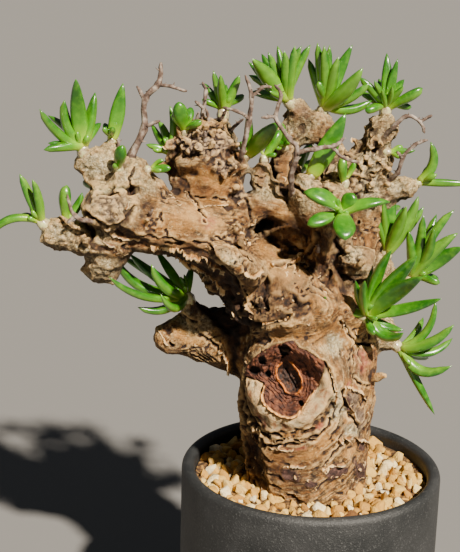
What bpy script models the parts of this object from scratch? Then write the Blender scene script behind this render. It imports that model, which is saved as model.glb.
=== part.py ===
"""A potted tylecodon: a swollen branching caudex with finger leaves and dry flower stalks, in a round ceramic pot.

Lengths are written in millimetres and turned to metres by MM. +Z is up, +X is right and -Y is towards the viewer.
The origin is the middle of the pot's flat base. A direction is written as two angles in degrees:
its clock angle, from +Z (0) towards +X (90), and how far it leans from there towards the viewer.
"""

import math
import random

import bmesh
import bpy
from mathutils import Matrix, Vector, noise
from mathutils.bvhtree import BVHTree

MM = 0.001
CLEARANCE = 0.35

# Pot
POT_RADIUS = 60.0
POT_HEIGHT = 105.0
POT_WALL = 6.0
POT_FLOOR = 8.0
POT_SEGMENTS = 44
FOOT_ROUNDING = 3.0
DRAIN_HOLES = 3
DRAIN_HOLE_RADIUS = 5.0
DRAIN_CIRCLE_RADIUS = 26.0

# Potting mix
MIX_LEVEL = 98.5
MIX_INNER_RING = 22.0
MIX_RINGS = 10
MIX_SEGMENTS = 72
GRIT_SIZE = 6.5
GRIT_RELIEF = 2.6

# Caudex
VOXEL = 1.6
CAUDEX_TRIANGLES = 5100
SMOOTH_PASSES = 3
WART_SEED = 11
SWELL = 2.0
FOLD = 1.4

# Each limb is its centre line from the inside out: x, y, z and radius at each point.
LIMBS = {
    "trunk": [
        (-2, -3, 36, 5),
        (-2, -3, 52, 12),
        (-2, -3, 74, 22),
        (-2, -4, 97, 28.5),
        (-4, -4, 130, 31),
        (-4, -3, 158, 32),
        (-4, -1, 178, 29),
    ],
    "low_left": [(-18, 1, 162, 21), (-40, 3, 165, 15.5), (-56, 1, 166, 10.5), (-66, -1, 165, 7.5)],
    "low_left_stem": [(-52, 2, 170, 8), (-56, -4, 180, 5)],
    "left_arm": [
        (-8, -6, 182, 24),
        (-28, -10, 195, 18.5),
        (-47, -13, 211, 15),
        (-60, -14, 218.5, 14.5),
        (-75, -15, 222, 14.5),
        (-90, -16, 223, 13),
    ],
    "mid_left": [(-84, -20, 225, 11), (-94, -26, 230, 8.5)],
    "upper_left": [(-77, -15, 233, 10.5), (-87, -16, 241, 8.2), (-97, -18, 246, 6.3), (-103, -19, 248, 4.6)],
    "upper_left_knob": [(-91, -15, 246, 5), (-92, -14, 252, 4)],
    "stalk_knob": [(-82, -17, 240, 7.5), (-83, -18, 245.5, 6)],
    "far_left": [(-90, -18, 215, 10), (-103, -22, 214, 7.2), (-112, -24, 216.5, 5.8), (-117, -25, 219.5, 4.3)],
    "bottom_left": [(-92, -14, 208, 9), (-98, -13, 199.5, 6.5)],
    "knob": [(-50, -8, 220, 12), (-49, -4, 231, 11.5), (-51.5, -3, 242, 13.5), (-52, -3, 250, 15), (-56, -4, 256, 9.5)],
    "second_column": [(-42, 2, 244, 9), (-44, 5, 255, 7), (-45, 6, 261, 5.5)],
    "thin_branch": [(-16, -4, 224, 7), (-24, -6, 229, 6), (-27, -6, 237, 5), (-27, -6, 244.5, 4.6)],
    "heart": [(-2, 0, 184, 24), (-2, 2, 203, 17), (-3, 3, 216, 13)],
    "thick_branch": [
        (-8, 3, 212, 12),
        (-14, 6, 227, 9),
        (-17, 8, 241, 7.2),
        (-16, 8, 252, 6.8),
        (-13, 8, 262, 6.2),
        (-11.5, 7, 268.5, 6),
    ],
    "top_stub": [(-10, 8, 256, 5), (-4, 8, 262, 5.2), (0, 8, 263, 4.8)],
    "grey_branch": [(2, 6, 222, 11), (4, 9, 236, 7.5), (3.5, 10, 249, 6), (2.5, 10, 259, 5)],
    "grey_bulge": [(3, 8, 236, 7), (9, 3, 240, 5.5)],
    "pale_stub": [(-4, -5, 224, 10), (-8, -11, 235, 7), (-9.5, -12, 239.5, 5.5)],
    "pale_shoulder": [(-2, -9, 234, 6.5), (6, -9, 234, 5)],
    "leaf_stub": [(6, -2, 228, 7), (8, -5, 235, 4)],
    "hole_rim": [(-40, -10, 220, 8), (-32, -8, 227, 4.5), (-24, -6, 229, 5.5)],
    "bridge": [(-44, -16, 211, 10), (-29, -19, 201, 9), (-16, -20, 196, 10), (-5, -20, 190, 11)],
    "dead_stub": [(-28, -20, 198, 9), (-36, -26, 206, 6.5), (-44, -28, 212.5, 4.6)],
    "left_fold": [(-30, -16, 188, 14), (-14, -21, 184, 14.5), (4, -18, 186, 13)],
    "right_arm": [(10, 3, 182, 18), (13, 6, 201, 12.5), (18, 9, 217, 10.5), (21, 10, 230, 10)],
    "right_column": [(21, 10, 230, 10), (22, 10, 241, 8), (22.5, 10, 250, 7), (25, 10, 259, 4.9), (26, 10, 265, 3.9)],
    "right_side": [(24, 8, 233, 8), (34, 6, 234.5, 5.2), (39, 5, 235.5, 4.4)],
    "five_leaf_stem": [(2, -10, 208, 11), (4, -18, 219, 6.5), (6, -23, 225.5, 4.4)],
    "front_stub": [(6, -12, 202, 11), (12, -19, 205, 7), (17, -22, 206.5, 5.6)],
    "right_front": [(12, -10, 178, 12), (16, -18, 181, 6)],
    "right_back": [(14, 6, 190, 12), (28, 6, 193, 7.5), (38, 6, 191, 5)],
    "right_upper": [(22, 6, 194, 8), (28.5, 4, 200, 5)],
    "right_low": [(20, 0, 176, 11), (29, -5, 170.5, 6.5), (32, -6, 168.5, 5)],
    "back_limb": [(-2, 12, 190, 18), (-6, 22, 208, 11), (-10, 27, 222, 8), (-11, 28, 229, 6)],
    "back_knob": [(-16, 18, 200, 12), (-28, 27, 214, 9.5), (-30, 28, 220, 8)],
    "back_left": [(-24, 6, 196, 14), (-42, 16, 204, 9), (-51, 20, 211, 6)],
    "back_right": [(12, 12, 192, 13), (22, 24, 203, 8.5), (27, 30, 211, 6)],
    "back_scar": [(4, 22, 148, 11), (7, 30, 151, 8)],
}

# The healed ring round the old pruning scar, which faces the viewer on the trunk, and the dish rotted out of it.
SCAR_CENTRE = (-12, 156.5)
SCAR_RING_RADIUS = 16.5
SCAR_RING_THICKNESS = 5.4
SCAR_RING_SINK = 2.8
SCAR_RING_BALLS = 20
SCAR_DISH_RADIUS = 13.5
SCAR_DISH_DEPTH = 4.5
SCAR_TRUNK = (-4, -3, 31.5)

# Warts stand round the outer part of these limbs: how many, and their radius.
WARTS = {
    "left_arm": (16, 2.6),
    "mid_left": (18, 2.4),
    "upper_left": (26, 2.3),
    "stalk_knob": (7, 2.2),
    "far_left": (24, 2.2),
    "bottom_left": (12, 2.3),
    "knob": (60, 3.4),
    "second_column": (14, 2.1),
    "thin_branch": (9, 1.9),
    "hole_rim": (7, 2.4),
    "thick_branch": (10, 2.2),
    "top_stub": (12, 2.2),
    "grey_branch": (8, 2.0),
    "grey_bulge": (9, 2.1),
    "pale_stub": (10, 2.2),
    "pale_shoulder": (12, 2.2),
    "dead_stub": (16, 2.3),
    "left_fold": (14, 3.6),
    "right_column": (52, 3.0),
    "right_side": (13, 2.0),
    "front_stub": (18, 2.5),
    "right_back": (9, 2.1),
    "right_low": (8, 2.1),
    "back_limb": (20, 2.6),
    "back_knob": (18, 2.8),
    "back_left": (14, 2.4),
    "back_right": (14, 2.4),
}

# Each head of leaves: its seat in the caudex, the way it faces, and its leaves.
# A leaf is its clock angle, its lean to the viewer, its length, its width and its bow.
# A leaf with a positive bow bulges to the side that the head faces, and with a negative bow away from it.
HEADS = {
    "upper_left": {
        "seat": (-103, -19.5, 248.5),
        "faces": (0, 10),
        "leaves": [
            (-43, 22, 26, 5.2, -0.06),
            (-52, -14, 20, 3.8, 0.10),
            (-20, 8, 21, 6.0, -0.12),
            (-13, -12, 24, 4.2, 0.02),
            (-3, 20, 32, 7.0, -0.08),
            (12, -4, 23, 5.6, 0.02),
            (-80, 22, 15, 4.0, 0.04),
            (-92, 34, 18, 5.0, 0.06),
            (40, -50, 15, 4.6, 0.08),
            (-40, -48, 17, 4.8, 0.08),
        ],
    },
    "upper_left_finger": {
        "seat": (-92, -14, 252),
        "faces": (5, 0),
        "leaves": [(11, 4, 25, 6.6, 0.03), (-33, 40, 8, 3.0, 0.05), (10, 55, 9, 3.2, 0.05), (-35, -40, 9, 3.4, 0.08)],
    },
    "upper_left_single": {
        "seat": (-88, -21, 244),
        "faces": (0, 50),
        "leaves": [(12, 36, 14, 5.6, 0.05)],
    },
    "upper_left_inner": {
        "seat": (-81, -17, 243),
        "faces": (70, 15),
        "leaves": [(82, 10, 10, 3.8, -0.05)],
    },
    "far_left": {
        "seat": (-117.5, -25, 220),
        "faces": (-45, 10),
        "leaves": [
            (-22, 8, 23, 5.6, 0.04),
            (-6, 22, 21, 4.6, -0.03),
            (-112, 8, 23, 4.4, 0.22),
            (-35, -45, 14, 4.2, 0.08),
            (-90, -40, 12, 4.0, 0.08),
        ],
    },
    "far_left_inner": {
        "seat": (-111, -22, 219),
        "faces": (15, 0),
        "leaves": [(2, 10, 16, 6.4, -0.03), (29, -14, 13, 4.2, -0.10)],
    },
    "mid_left": {
        "seat": (-94, -15, 231),
        "faces": (-50, -45),
        "leaves": [(-35, -22, 17, 4.6, 0.05), (-75, -45, 12, 4.0, 0.05)],
    },
    "knob_left": {
        "seat": (-67, -6, 250),
        "faces": (-55, 0),
        "leaves": [(0, 0, 20, 4.6, -0.06), (-21, -12, 14, 4.6, -0.05), (-36, -28, 15, 3.6, 0.02), (-71, 10, 11, 3.6, 0.05)],
    },
    "knob_top": {
        "seat": (-61, -8, 257),
        "faces": (0, 25),
        "leaves": [(-11, 26, 15, 6.8, 0.05), (-34, 26, 10, 4.0, 0.04), (61, 34, 10, 4.0, 0.05), (15, -35, 11, 4.4, 0.08)],
    },
    "second_column": {
        "seat": (-45, 6, 262),
        "faces": (0, 0),
        "leaves": [
            (-37, -8, 15, 4.2, 0.05),
            (-15, 8, 18, 4.2, 0.02),
            (-5, 30, 18, 4.4, 0.02),
            (22, 10, 18, 5.2, 0.03),
            (-66, 10, 10, 3.6, 0.04),
            (62, -25, 11, 4.2, 0.06),
            (5, -42, 14, 4.4, 0.08),
        ],
    },
    "mid_front": {
        "seat": (-34, -6, 250),
        "faces": (35, 25),
        "leaves": [(0, 14, 20, 4.8, 0.02), (36, 38, 27, 7.8, 0.03), (-37, 40, 9, 3.6, 0.04)],
    },
    "thin_branch": {
        "seat": (-27, -6, 245),
        "faces": (5, 0),
        "leaves": [(28, -6, 14, 5.4, 0.02), (75, 30, 6, 2.8, 0.05)],
    },
    "top_left": {
        "seat": (-13, 6, 268),
        "faces": (-42, 12),
        "leaves": [
            (-46, 18, 26, 4.4, 0.05),
            (-40, 32, 29, 7.6, 0.06),
            (-31, -12, 20, 4.6, 0.05),
            (-13, 0, 23, 4.6, 0.02),
            (-6, 24, 23, 4.6, 0.02),
            (14, 12, 23, 5.2, 0.10),
            (-62, 42, 11, 3.6, 0.04),
            (-45, -42, 19, 5.0, 0.08),
            (-84, -25, 17, 4.8, 0.08),
        ],
    },
    "top_right": {
        "seat": (-3, 7.5, 265),
        "faces": (25, 5),
        "leaves": [
            (-4, 18, 29, 4.8, 0.02),
            (10, 24, 24, 5.2, 0.0),
            (22, -6, 28, 5.6, -0.05),
            (37, 28, 25, 6.6, -0.06),
            (82, -2, 19, 4.8, -0.12),
            (-22, 30, 11, 3.8, 0.02),
            (55, -32, 20, 5.2, 0.06),
            (8, -45, 19, 5.0, 0.08),
            (95, -45, 15, 4.6, 0.08),
        ],
    },
    "thick_side": {
        "seat": (-18, 4, 252),
        "faces": (-30, 60),
        "leaves": [(-6, 32, 14, 4.4, 0.03), (-40, 55, 8, 3.4, 0.03)],
    },
    "pale_stub": {
        "seat": (-8, -12, 240),
        "faces": (25, 15),
        "leaves": [(25, 8, 31, 9.0, 0.03)],
    },
    "small_leaf": {
        "seat": (8, -5, 235),
        "faces": (10, 10),
        "leaves": [(-6, 15, 12, 5.2, -0.06)],
    },
    "right_top": {
        "seat": (26, 10, 265),
        "faces": (5, 5),
        "leaves": [
            (-2, -6, 24, 5.4, 0.05),
            (-45, 8, 18, 5.2, 0.05),
            (9, 6, 21, 4.2, 0.02),
            (56, 16, 18, 6.0, 0.02),
            (-104, 34, 12, 4.6, 0.05),
            (-30, 22, 14, 3.6, 0.02),
            (-18, 38, 12, 3.4, 0.02),
            (6, 40, 13, 3.4, 0.02),
            (32, 32, 13, 3.6, 0.02),
            (-66, -28, 14, 4.4, 0.06),
            (38, -38, 17, 4.8, 0.08),
            (100, -8, 11, 4.0, 0.05),
            (-14, -44, 16, 4.6, 0.08),
        ],
    },
    "right_side": {
        "seat": (39, 4.5, 236),
        "faces": (55, 0),
        "leaves": [(10, 8, 19, 5.4, 0.22), (90, 4, 21, 4.6, 0.02)],
    },
    "right_small": {
        "seat": (29, 6, 251),
        "faces": (90, 20),
        "leaves": [(84, 6, 12, 3.4, 0.02)],
    },
    "five_leaf": {
        "seat": (6, -23, 226),
        "faces": (5, 45),
        "leaves": [
            (-60, 14, 20, 7.6, 0.20),
            (24, 12, 10, 7.4, 0.05),
            (180, 64, 18, 9.6, 0.10),
            (-104, 26, 17, 6.4, 0.06),
            (74, 6, 20, 5.2, 0.20),
        ],
    },
    "right_front": {
        "seat": (16, -19, 181.5),
        "faces": (45, 45),
        "leaves": [
            (-62, 20, 23, 4.8, -0.16),
            (-20, 26, 21, 4.0, -0.03),
            (-10, 36, 24, 5.0, -0.03),
            (3, 4, 21, 4.4, 0.0),
            (14, 16, 34, 6.0, -0.05),
            (30, 22, 38, 8.4, -0.03),
            (40, 34, 38, 8.0, -0.04),
            (68, 20, 34, 5.4, -0.08),
            (106, 34, 18, 5.6, -0.34),
            (108, 8, 17, 4.6, -0.14),
            (150, 52, 10, 4.2, -0.10),
        ],
    },
    "right_upper": {
        "seat": (29, 4, 200.5),
        "faces": (10, -5),
        "leaves": [
            (4, -8, 28, 5.0, 0.05),
            (-8, 8, 21, 4.0, 0.03),
            (-20, 10, 13, 3.6, 0.02),
            (23, 10, 27, 6.4, -0.04),
            (24, -35, 24, 4.8, 0.04),
            (-30, -42, 18, 4.6, 0.06),
        ],
    },
    "right_back": {
        "seat": (38, 5.5, 191),
        "faces": (50, 5),
        "leaves": [
            (4, 12, 30, 5.2, 0.05),
            (12, 26, 27, 4.6, 0.12),
            (26, 4, 34, 5.4, -0.05),
            (50, 18, 25, 6.6, -0.06),
            (60, -20, 22, 5.4, -0.03),
            (98, 30, 10, 3.8, 0.05),
            (40, -48, 22, 5.2, 0.06),
            (105, -35, 16, 4.6, 0.06),
        ],
    },
    "right_low": {
        "seat": (32, -6, 168.5),
        "faces": (128, 15),
        "leaves": [
            (31, 0, 27, 4.8, 0.20),
            (56, 16, 27, 6.2, 0.13),
            (78, -10, 24, 5.0, 0.20),
            (102, 20, 25, 6.2, 0.32),
            (150, 0, 36, 4.2, 0.02),
            (118, -35, 20, 4.8, 0.06),
            (45, -38, 20, 4.8, 0.10),
        ],
    },
    "left_low": {
        "seat": (-56, -4, 180),
        "faces": (-25, 15),
        "leaves": [
            (-68, 28, 40, 4.6, -0.11),
            (-62, 58, 22, 4.6, -0.26),
            (-60, 10, 36, 5.8, -0.20),
            (-64, -16, 36, 4.4, 0.0),
            (-56, -6, 31, 5.4, -0.06),
            (-40, -26, 25, 4.4, 0.02),
            (-42, 24, 25, 5.8, -0.12),
            (-104, 14, 22, 4.8, -0.20),
            (-98, -10, 14, 4.4, -0.05),
            (10, -30, 14, 4.2, 0.05),
            (-80, -45, 20, 4.6, 0.05),
        ],
    },
    "back_limb": {
        "seat": (-11, 28, 229),
        "faces": (0, -30),
        "leaves": [
            (-10, -20, 24, 5.6, 0.04),
            (30, -35, 22, 5.4, 0.06),
            (-45, -30, 21, 5.2, 0.06),
            (-20, -62, 20, 5.2, 0.08),
            (70, -45, 18, 5.0, 0.10),
            (-80, -50, 17, 5.0, 0.10),
            (20, -10, 14, 4.2, 0.04),
        ],
    },
    "back_left": {
        "seat": (-51, 20, 211),
        "faces": (-50, -30),
        "leaves": [
            (-30, -15, 23, 5.4, 0.04),
            (-65, -25, 24, 5.6, 0.04),
            (-100, -25, 18, 5.0, 0.08),
            (-10, -50, 19, 5.2, 0.08),
            (-70, -65, 17, 5.0, 0.10),
        ],
    },
    "back_right": {
        "seat": (27, 30, 211),
        "faces": (30, -40),
        "leaves": [
            (5, -20, 22, 5.4, 0.04),
            (45, -30, 23, 5.4, 0.04),
            (20, -60, 21, 5.2, 0.08),
            (80, -50, 18, 5.0, 0.10),
            (-40, -55, 17, 4.8, 0.10),
            (-15, -25, 13, 4.2, 0.04),
        ],
    },
}

# Each dry flower stalk: its twigs, and each twig its points from root to tip with the radius there.
STALKS = {
    "left": [
        [
            (-82, -18, 243, 1.7),
            (-83.5, -18, 251, 1.6),
            (-78, -17, 262, 1.3),
            (-77.5, -17, 275, 1.2),
            (-72, -17, 281, 1.0),
            (-71, -17, 290, 0.9),
        ],
        [(-77.5, -17, 274, 1.1), (-81, -18, 280, 0.8)],
        [(-72, -17, 281, 1.0), (-66, -18, 280, 0.8), (-60, -18, 278.5, 0.8)],
        [(-78, -17, 263, 1.0), (-71, -19, 266, 0.8)],
    ],
    "knob": [
        [(-54, -4, 258, 1.3), (-53.5, -6, 267, 1.1), (-52.5, -6, 277, 0.9), (-54, -6, 281, 0.8)],
        [(-53.5, -6, 270, 0.9), (-57, -7, 273, 0.8)],
    ],
    "mid": [
        [(-38, -8, 246, 1.5), (-36, -16, 254, 1.3), (-34, -19, 266, 1.2), (-33, -19, 277, 1.0), (-36, -19, 286, 0.8)],
        [(-34, -19, 268, 1.0), (-39, -20, 271, 0.8), (-45, -20, 272.5, 0.8)],
        [(-33, -19, 277, 0.9), (-29, -20, 281, 0.8), (-25, -20, 281.5, 0.8)],
    ],
    "front": [
        [
            (-14, -12, 234, 1.5),
            (-15.5, -20, 243, 1.4),
            (-13.5, -24, 256, 1.3),
            (-17, -25, 261, 1.1),
            (-23, -25, 270, 1.0),
            (-21, -25, 279, 0.9),
            (-24, -25, 283, 0.8),
        ],
        [(-23, -25, 270, 0.9), (-29, -26, 269.5, 0.8)],
        [(-13.5, -24, 255, 1.2), (-6, -24, 257, 1.1), (2, -23, 258, 1.0), (6, -22, 261.5, 0.8)],
        [(1, -23, 258, 0.9), (6, -22, 253, 0.8), (13, -21, 251, 0.8)],
    ],
    "right": [
        [(25, 6, 257, 1.4), (29, 1, 263, 1.2), (34, 0, 268, 1.0), (40, -1, 266, 0.9), (42.5, -1, 261, 0.8)],
        [(40, -1, 266, 0.8), (45, -2, 269, 0.8)],
    ],
    "right_side": [
        [(28, 4, 238, 1.3), (32, 0, 243, 1.1), (33.5, -2, 250, 1.0), (38, -3, 256, 0.9), (43.5, -4, 258.5, 0.8)],
        [(33.5, -2, 250, 0.9), (30.5, -3, 253, 0.8)],
    ],
    "far_left": [
        [(-92, -22, 222, 1.4), (-97, -33, 225, 1.2), (-105, -35, 228, 1.0), (-108, -35, 237, 0.8)],
        [(-105, -35, 228, 0.9), (-108, -36, 225, 0.8)],
    ],
}

# Leaf and crown proportions
LEAF_SIDES = 5
LONG_LEAF = 20.0
LONG_LEAF_RINGS = ((0.0, 0.56), (0.34, 0.94), (0.68, 1.0), (0.91, 0.55))
SHORT_LEAF_RINGS = ((0.0, 0.58), (0.45, 1.0), (0.84, 0.74))
LEAF_DEPTH = 0.42
ROUND_LEAF_WIDTH = 5.4
CROWN_SINK = 3.0
CROWN_RADIUS = 2.7
CROWN_HEIGHT = 4.6
SMALL_CROWN_RADIUS = 2.1
SMALL_CROWN_HEIGHT = 3.0
SMALL_HEAD = 4


def vector(point):
    """A point written in millimetres, in metres."""
    return Vector(point[:3]) * MM


def direction(clock, lean):
    """The unit vector at a clock angle in the plane across the view, leaned towards the viewer."""
    clock = math.radians(clock)
    lean = math.radians(lean)
    return Vector((math.cos(lean) * math.sin(clock), -math.sin(lean), math.cos(lean) * math.cos(clock)))


def clear_scene():
    for obj in list(bpy.data.objects):
        bpy.data.objects.remove(obj)


def material(name, colour, roughness):
    made = bpy.data.materials.new(name)
    made.use_nodes = True
    shader = made.node_tree.nodes["Principled BSDF"]
    shader.inputs["Base Color"].default_value = (*colour, 1)
    shader.inputs["Roughness"].default_value = roughness
    shader.inputs["Metallic"].default_value = 0.0
    return made


def add_object(name, mesh, finish=None, helper=False):
    obj = bpy.data.objects.new(name, mesh)
    bpy.context.scene.collection.objects.link(obj)
    if finish:
        mesh.materials.append(finish)
    if helper:
        obj.hide_render = True
        obj.display_type = "WIRE"
    return obj


def mesh_from(name, build):
    """A mesh filled by a function that is given an empty bmesh."""
    bm = bmesh.new()
    build(bm)
    mesh = bpy.data.meshes.new(name)
    bm.to_mesh(mesh)
    bm.free()
    return mesh


def apply_modifiers(obj):
    graph = bpy.context.evaluated_depsgraph_get()
    mesh = bpy.data.meshes.new_from_object(obj.evaluated_get(graph))
    obj.modifiers.clear()
    obj.data = mesh


def keep_largest_piece(obj):
    """Drops the loose scraps that a Boolean can leave beside the body."""
    bm = bmesh.new()
    bm.from_mesh(obj.data)
    pieces = []
    left = set(bm.verts)
    while left:
        piece = set()
        front = [left.pop()]
        while front:
            vert = front.pop()
            piece.add(vert)
            for edge in vert.link_edges:
                other = edge.other_vert(vert)
                if other in left:
                    left.remove(other)
                    front.append(other)
        pieces.append(piece)
    pieces.sort(key=len)
    scraps = [vert for piece in pieces[:-1] for vert in piece]
    bmesh.ops.delete(bm, geom=scraps, context="VERTS")
    bm.to_mesh(obj.data)
    bm.free()


def smooth_path(points, steps):
    """A Catmull-Rom curve through points of x, y, z and radius, with the given steps in each span."""
    rows = [Vector(p) for p in points]
    rows = [rows[0] * 2 - rows[1], *rows, rows[-1] * 2 - rows[-2]]
    path = []
    for a, b, c, d in zip(rows, rows[1:], rows[2:], rows[3:]):
        for step in range(steps):
            t = step / steps
            bend = (2 * a - 5 * b + 4 * c - d) * t * t + (3 * b - a - 3 * c + d) * t**3
            path.append(0.5 * (2 * b + (c - a) * t + bend))
    path.append(rows[-2])
    return path


def loft(bm, path, sizes, sides, across):
    """A closed tube along path: sizes holds each ring's half width and half thickness, and the last point is its tip."""
    rings = []
    last = len(path) - 1
    for i, centre in enumerate(path[:-1]):
        tangent = (path[i + 1] - path[max(i - 1, 0)]).normalized()
        side = tangent.cross(across).normalized()
        thick = side.cross(tangent)
        half_width, half_thickness = sizes[i]
        ring = []
        for k in range(sides):
            turn = 2 * math.pi * k / sides
            offset = side * half_width * math.cos(turn) + thick * half_thickness * math.sin(turn)
            ring.append(bm.verts.new(centre + offset))
        rings.append(ring)
    tip = bm.verts.new(path[last])
    bm.faces.new(list(reversed(rings[0])))
    for low, high in zip(rings, rings[1:]):
        for k in range(sides):
            n = (k + 1) % sides
            bm.faces.new((low[k], low[n], high[n], high[k]))
    for k in range(sides):
        bm.faces.new((rings[-1][k], rings[-1][(k + 1) % sides], tip))
    bmesh.ops.recalc_face_normals(bm, faces=bm.faces)


def turned(name, profile, segments):
    """A solid turned about +Z from a profile of radius and height that starts and ends on the axis."""

    def build(bm):
        rings = []
        for radius, height in profile:
            if radius == 0:
                rings.append([bm.verts.new((0, 0, height * MM))] * segments)
                continue
            ring = []
            for k in range(segments):
                turn = 2 * math.pi * k / segments
                ring.append(bm.verts.new((radius * MM * math.cos(turn), radius * MM * math.sin(turn), height * MM)))
            rings.append(ring)
        for low, high in zip(rings, rings[1:]):
            for k in range(segments):
                n = (k + 1) % segments
                corners = list(dict.fromkeys([low[k], low[n], high[n], high[k]]))
                bm.faces.new(corners)
        bmesh.ops.recalc_face_normals(bm, faces=bm.faces)

    return mesh_from(name, build)


def add_boolean(obj, operation, other=None, group=None):
    cut = obj.modifiers.new(operation.title(), "BOOLEAN")
    cut.operation = operation
    cut.solver = "EXACT"
    if group:
        cut.operand_type = "COLLECTION"
        cut.collection = group
    else:
        cut.object = other


def fuse(obj, meshes):
    """Joins the meshes to the object's own with one Boolean union on a collection, and applies it."""
    group = bpy.data.collections.new(f"{obj.name}_pieces")
    bpy.context.scene.collection.children.link(group)
    for mesh in meshes:
        group.objects.link(bpy.data.objects.new(mesh.name, mesh))
    add_boolean(obj, "UNION", group=group)
    apply_modifiers(obj)
    for piece in list(group.objects):
        bpy.data.objects.remove(piece)
    bpy.data.collections.remove(group)


def trim(obj, clearance):
    """Cuts away what would reach into the caudex, and leaves the clearance between them."""
    add_boolean(obj, "DIFFERENCE", clearance)
    apply_modifiers(obj)
    keep_largest_piece(obj)


def make_pot(finish):
    inner = POT_RADIUS - POT_WALL
    middle = POT_RADIUS - POT_WALL / 2
    lip_centre = POT_HEIGHT - POT_WALL / 2
    profile = [(0, 0), (POT_RADIUS - FOOT_ROUNDING, 0)]
    profile += [(POT_RADIUS - FOOT_ROUNDING * 0.3, FOOT_ROUNDING * 0.3), (POT_RADIUS, FOOT_ROUNDING)]
    for step in range(5):
        turn = math.radians(180 * step / 4)
        profile.append((middle + POT_WALL / 2 * math.cos(turn), lip_centre + POT_WALL / 2 * math.sin(turn)))
    profile += [(inner, POT_FLOOR + 4), (inner - 3, POT_FLOOR), (0, POT_FLOOR)]
    pot = add_object("pot", turned("pot", profile, POT_SEGMENTS), finish)
    drain = turned("drain", [(0, -5), (DRAIN_HOLE_RADIUS, -5), (DRAIN_HOLE_RADIUS, 13), (0, 13)], 12)
    for hole in range(DRAIN_HOLES):
        cutter = add_object(f"drain_cutter_{hole + 1}", drain, helper=True)
        turn = 2 * math.pi * (hole + 0.25) / DRAIN_HOLES
        cutter.location = (DRAIN_CIRCLE_RADIUS * MM * math.cos(turn), DRAIN_CIRCLE_RADIUS * MM * math.sin(turn), 0)
        add_boolean(pot, "DIFFERENCE", cutter)
    pot.data.shade_smooth()
    pot.data.set_sharp_from_angle(angle=math.radians(40))


def grit_height(x, y):
    """The mix's relief at a point: a rounded dome for each grain, the cells of a Voronoi pattern."""
    near = noise.voronoi(Vector((x / GRIT_SIZE, y / GRIT_SIZE, 3.7)))[0]
    dome = min((near[1] - near[0]) * 2.2, 1.0)
    return GRIT_RELIEF * (dome - 0.5) + 0.8 * noise.noise(Vector((x / 17, y / 17, 8.1)))


def make_mix(finish, clearance):
    """The gritty potting mix: it fills the pot to below the lip, and the trunk stands in a plain hole in it."""
    edge = (POT_RADIUS - POT_WALL - CLEARANCE) * math.cos(math.pi / POT_SEGMENTS)
    middle = (0, 0, MIX_LEVEL * MM)

    def ring(bm, radius, shift, height_at):
        row = []
        for k in range(MIX_SEGMENTS):
            turn = 2 * math.pi * (k + shift) / MIX_SEGMENTS
            x = radius * math.cos(turn)
            y = radius * math.sin(turn)
            row.append(bm.verts.new((x * MM, y * MM, height_at(x, y) * MM)))
        return row

    def build(bm):
        centre = bm.verts.new(middle)
        step = (edge - MIX_INNER_RING) / (MIX_RINGS - 1)
        rings = []
        for i in range(MIX_RINGS):
            relief = (lambda x, y: MIX_LEVEL) if i == MIX_RINGS - 1 else (lambda x, y: MIX_LEVEL + grit_height(x, y))
            rings.append(ring(bm, MIX_INNER_RING + step * i, 0.5 * (i % 2), relief))
        shift = 0.5 * ((MIX_RINGS - 1) % 2)
        rings.append(ring(bm, edge, shift, lambda x, y: POT_FLOOR + 5))
        rings.append(ring(bm, edge - 3.6, shift, lambda x, y: POT_FLOOR + CLEARANCE))
        for k in range(MIX_SEGMENTS):
            bm.faces.new((centre, rings[0][k], rings[0][(k + 1) % MIX_SEGMENTS]))
        for low, high in zip(rings, rings[1:]):
            for k in range(MIX_SEGMENTS):
                n = (k + 1) % MIX_SEGMENTS
                bm.faces.new((low[k], high[k], high[n]))
                bm.faces.new((low[k], high[n], low[n]))
        bm.faces.new(rings[-1])
        bmesh.ops.recalc_face_normals(bm, faces=bm.faces)

    mix = add_object("potting_mix", mesh_from("potting_mix", build), finish)
    trim(mix, clearance)


def wart_balls(name, path, draw):
    """Balls that stand half out of a limb, round its outer part: the leaf scars and stubs of old growth."""
    count, size = WARTS.get(name, (0, 0))
    balls = []
    for _ in range(count):
        share = draw.uniform(0.3, 1.0)
        i = max(1, min(int(share * len(path)), len(path) - 1))
        along = (path[i].xyz - path[i - 1].xyz).normalized()
        out = along.orthogonal().normalized()
        out.rotate(Matrix.Rotation(draw.uniform(0, 2 * math.pi), 3, along))
        if i == len(path) - 1:
            out = (out + along * draw.uniform(0.2, 0.9)).normalized()
        radius = size * draw.uniform(0.7, 1.3)
        balls.append((path[i].xyz + out * path[i].w, radius))
    return balls


def scar_balls():
    """The healed ring of bark round the pruning scar, which follows the trunk's round surface."""
    trunk_x, trunk_y, trunk_radius = SCAR_TRUNK
    balls = []
    for k in range(SCAR_RING_BALLS):
        turn = 2 * math.pi * k / SCAR_RING_BALLS
        x = SCAR_CENTRE[0] + SCAR_RING_RADIUS * math.cos(turn)
        z = SCAR_CENTRE[1] + SCAR_RING_RADIUS * math.sin(turn)
        y = trunk_y - math.sqrt(trunk_radius**2 - (x - trunk_x) ** 2) + SCAR_RING_SINK
        balls.append((Vector((x, y, z)), SCAR_RING_THICKNESS))
    return balls


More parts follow.
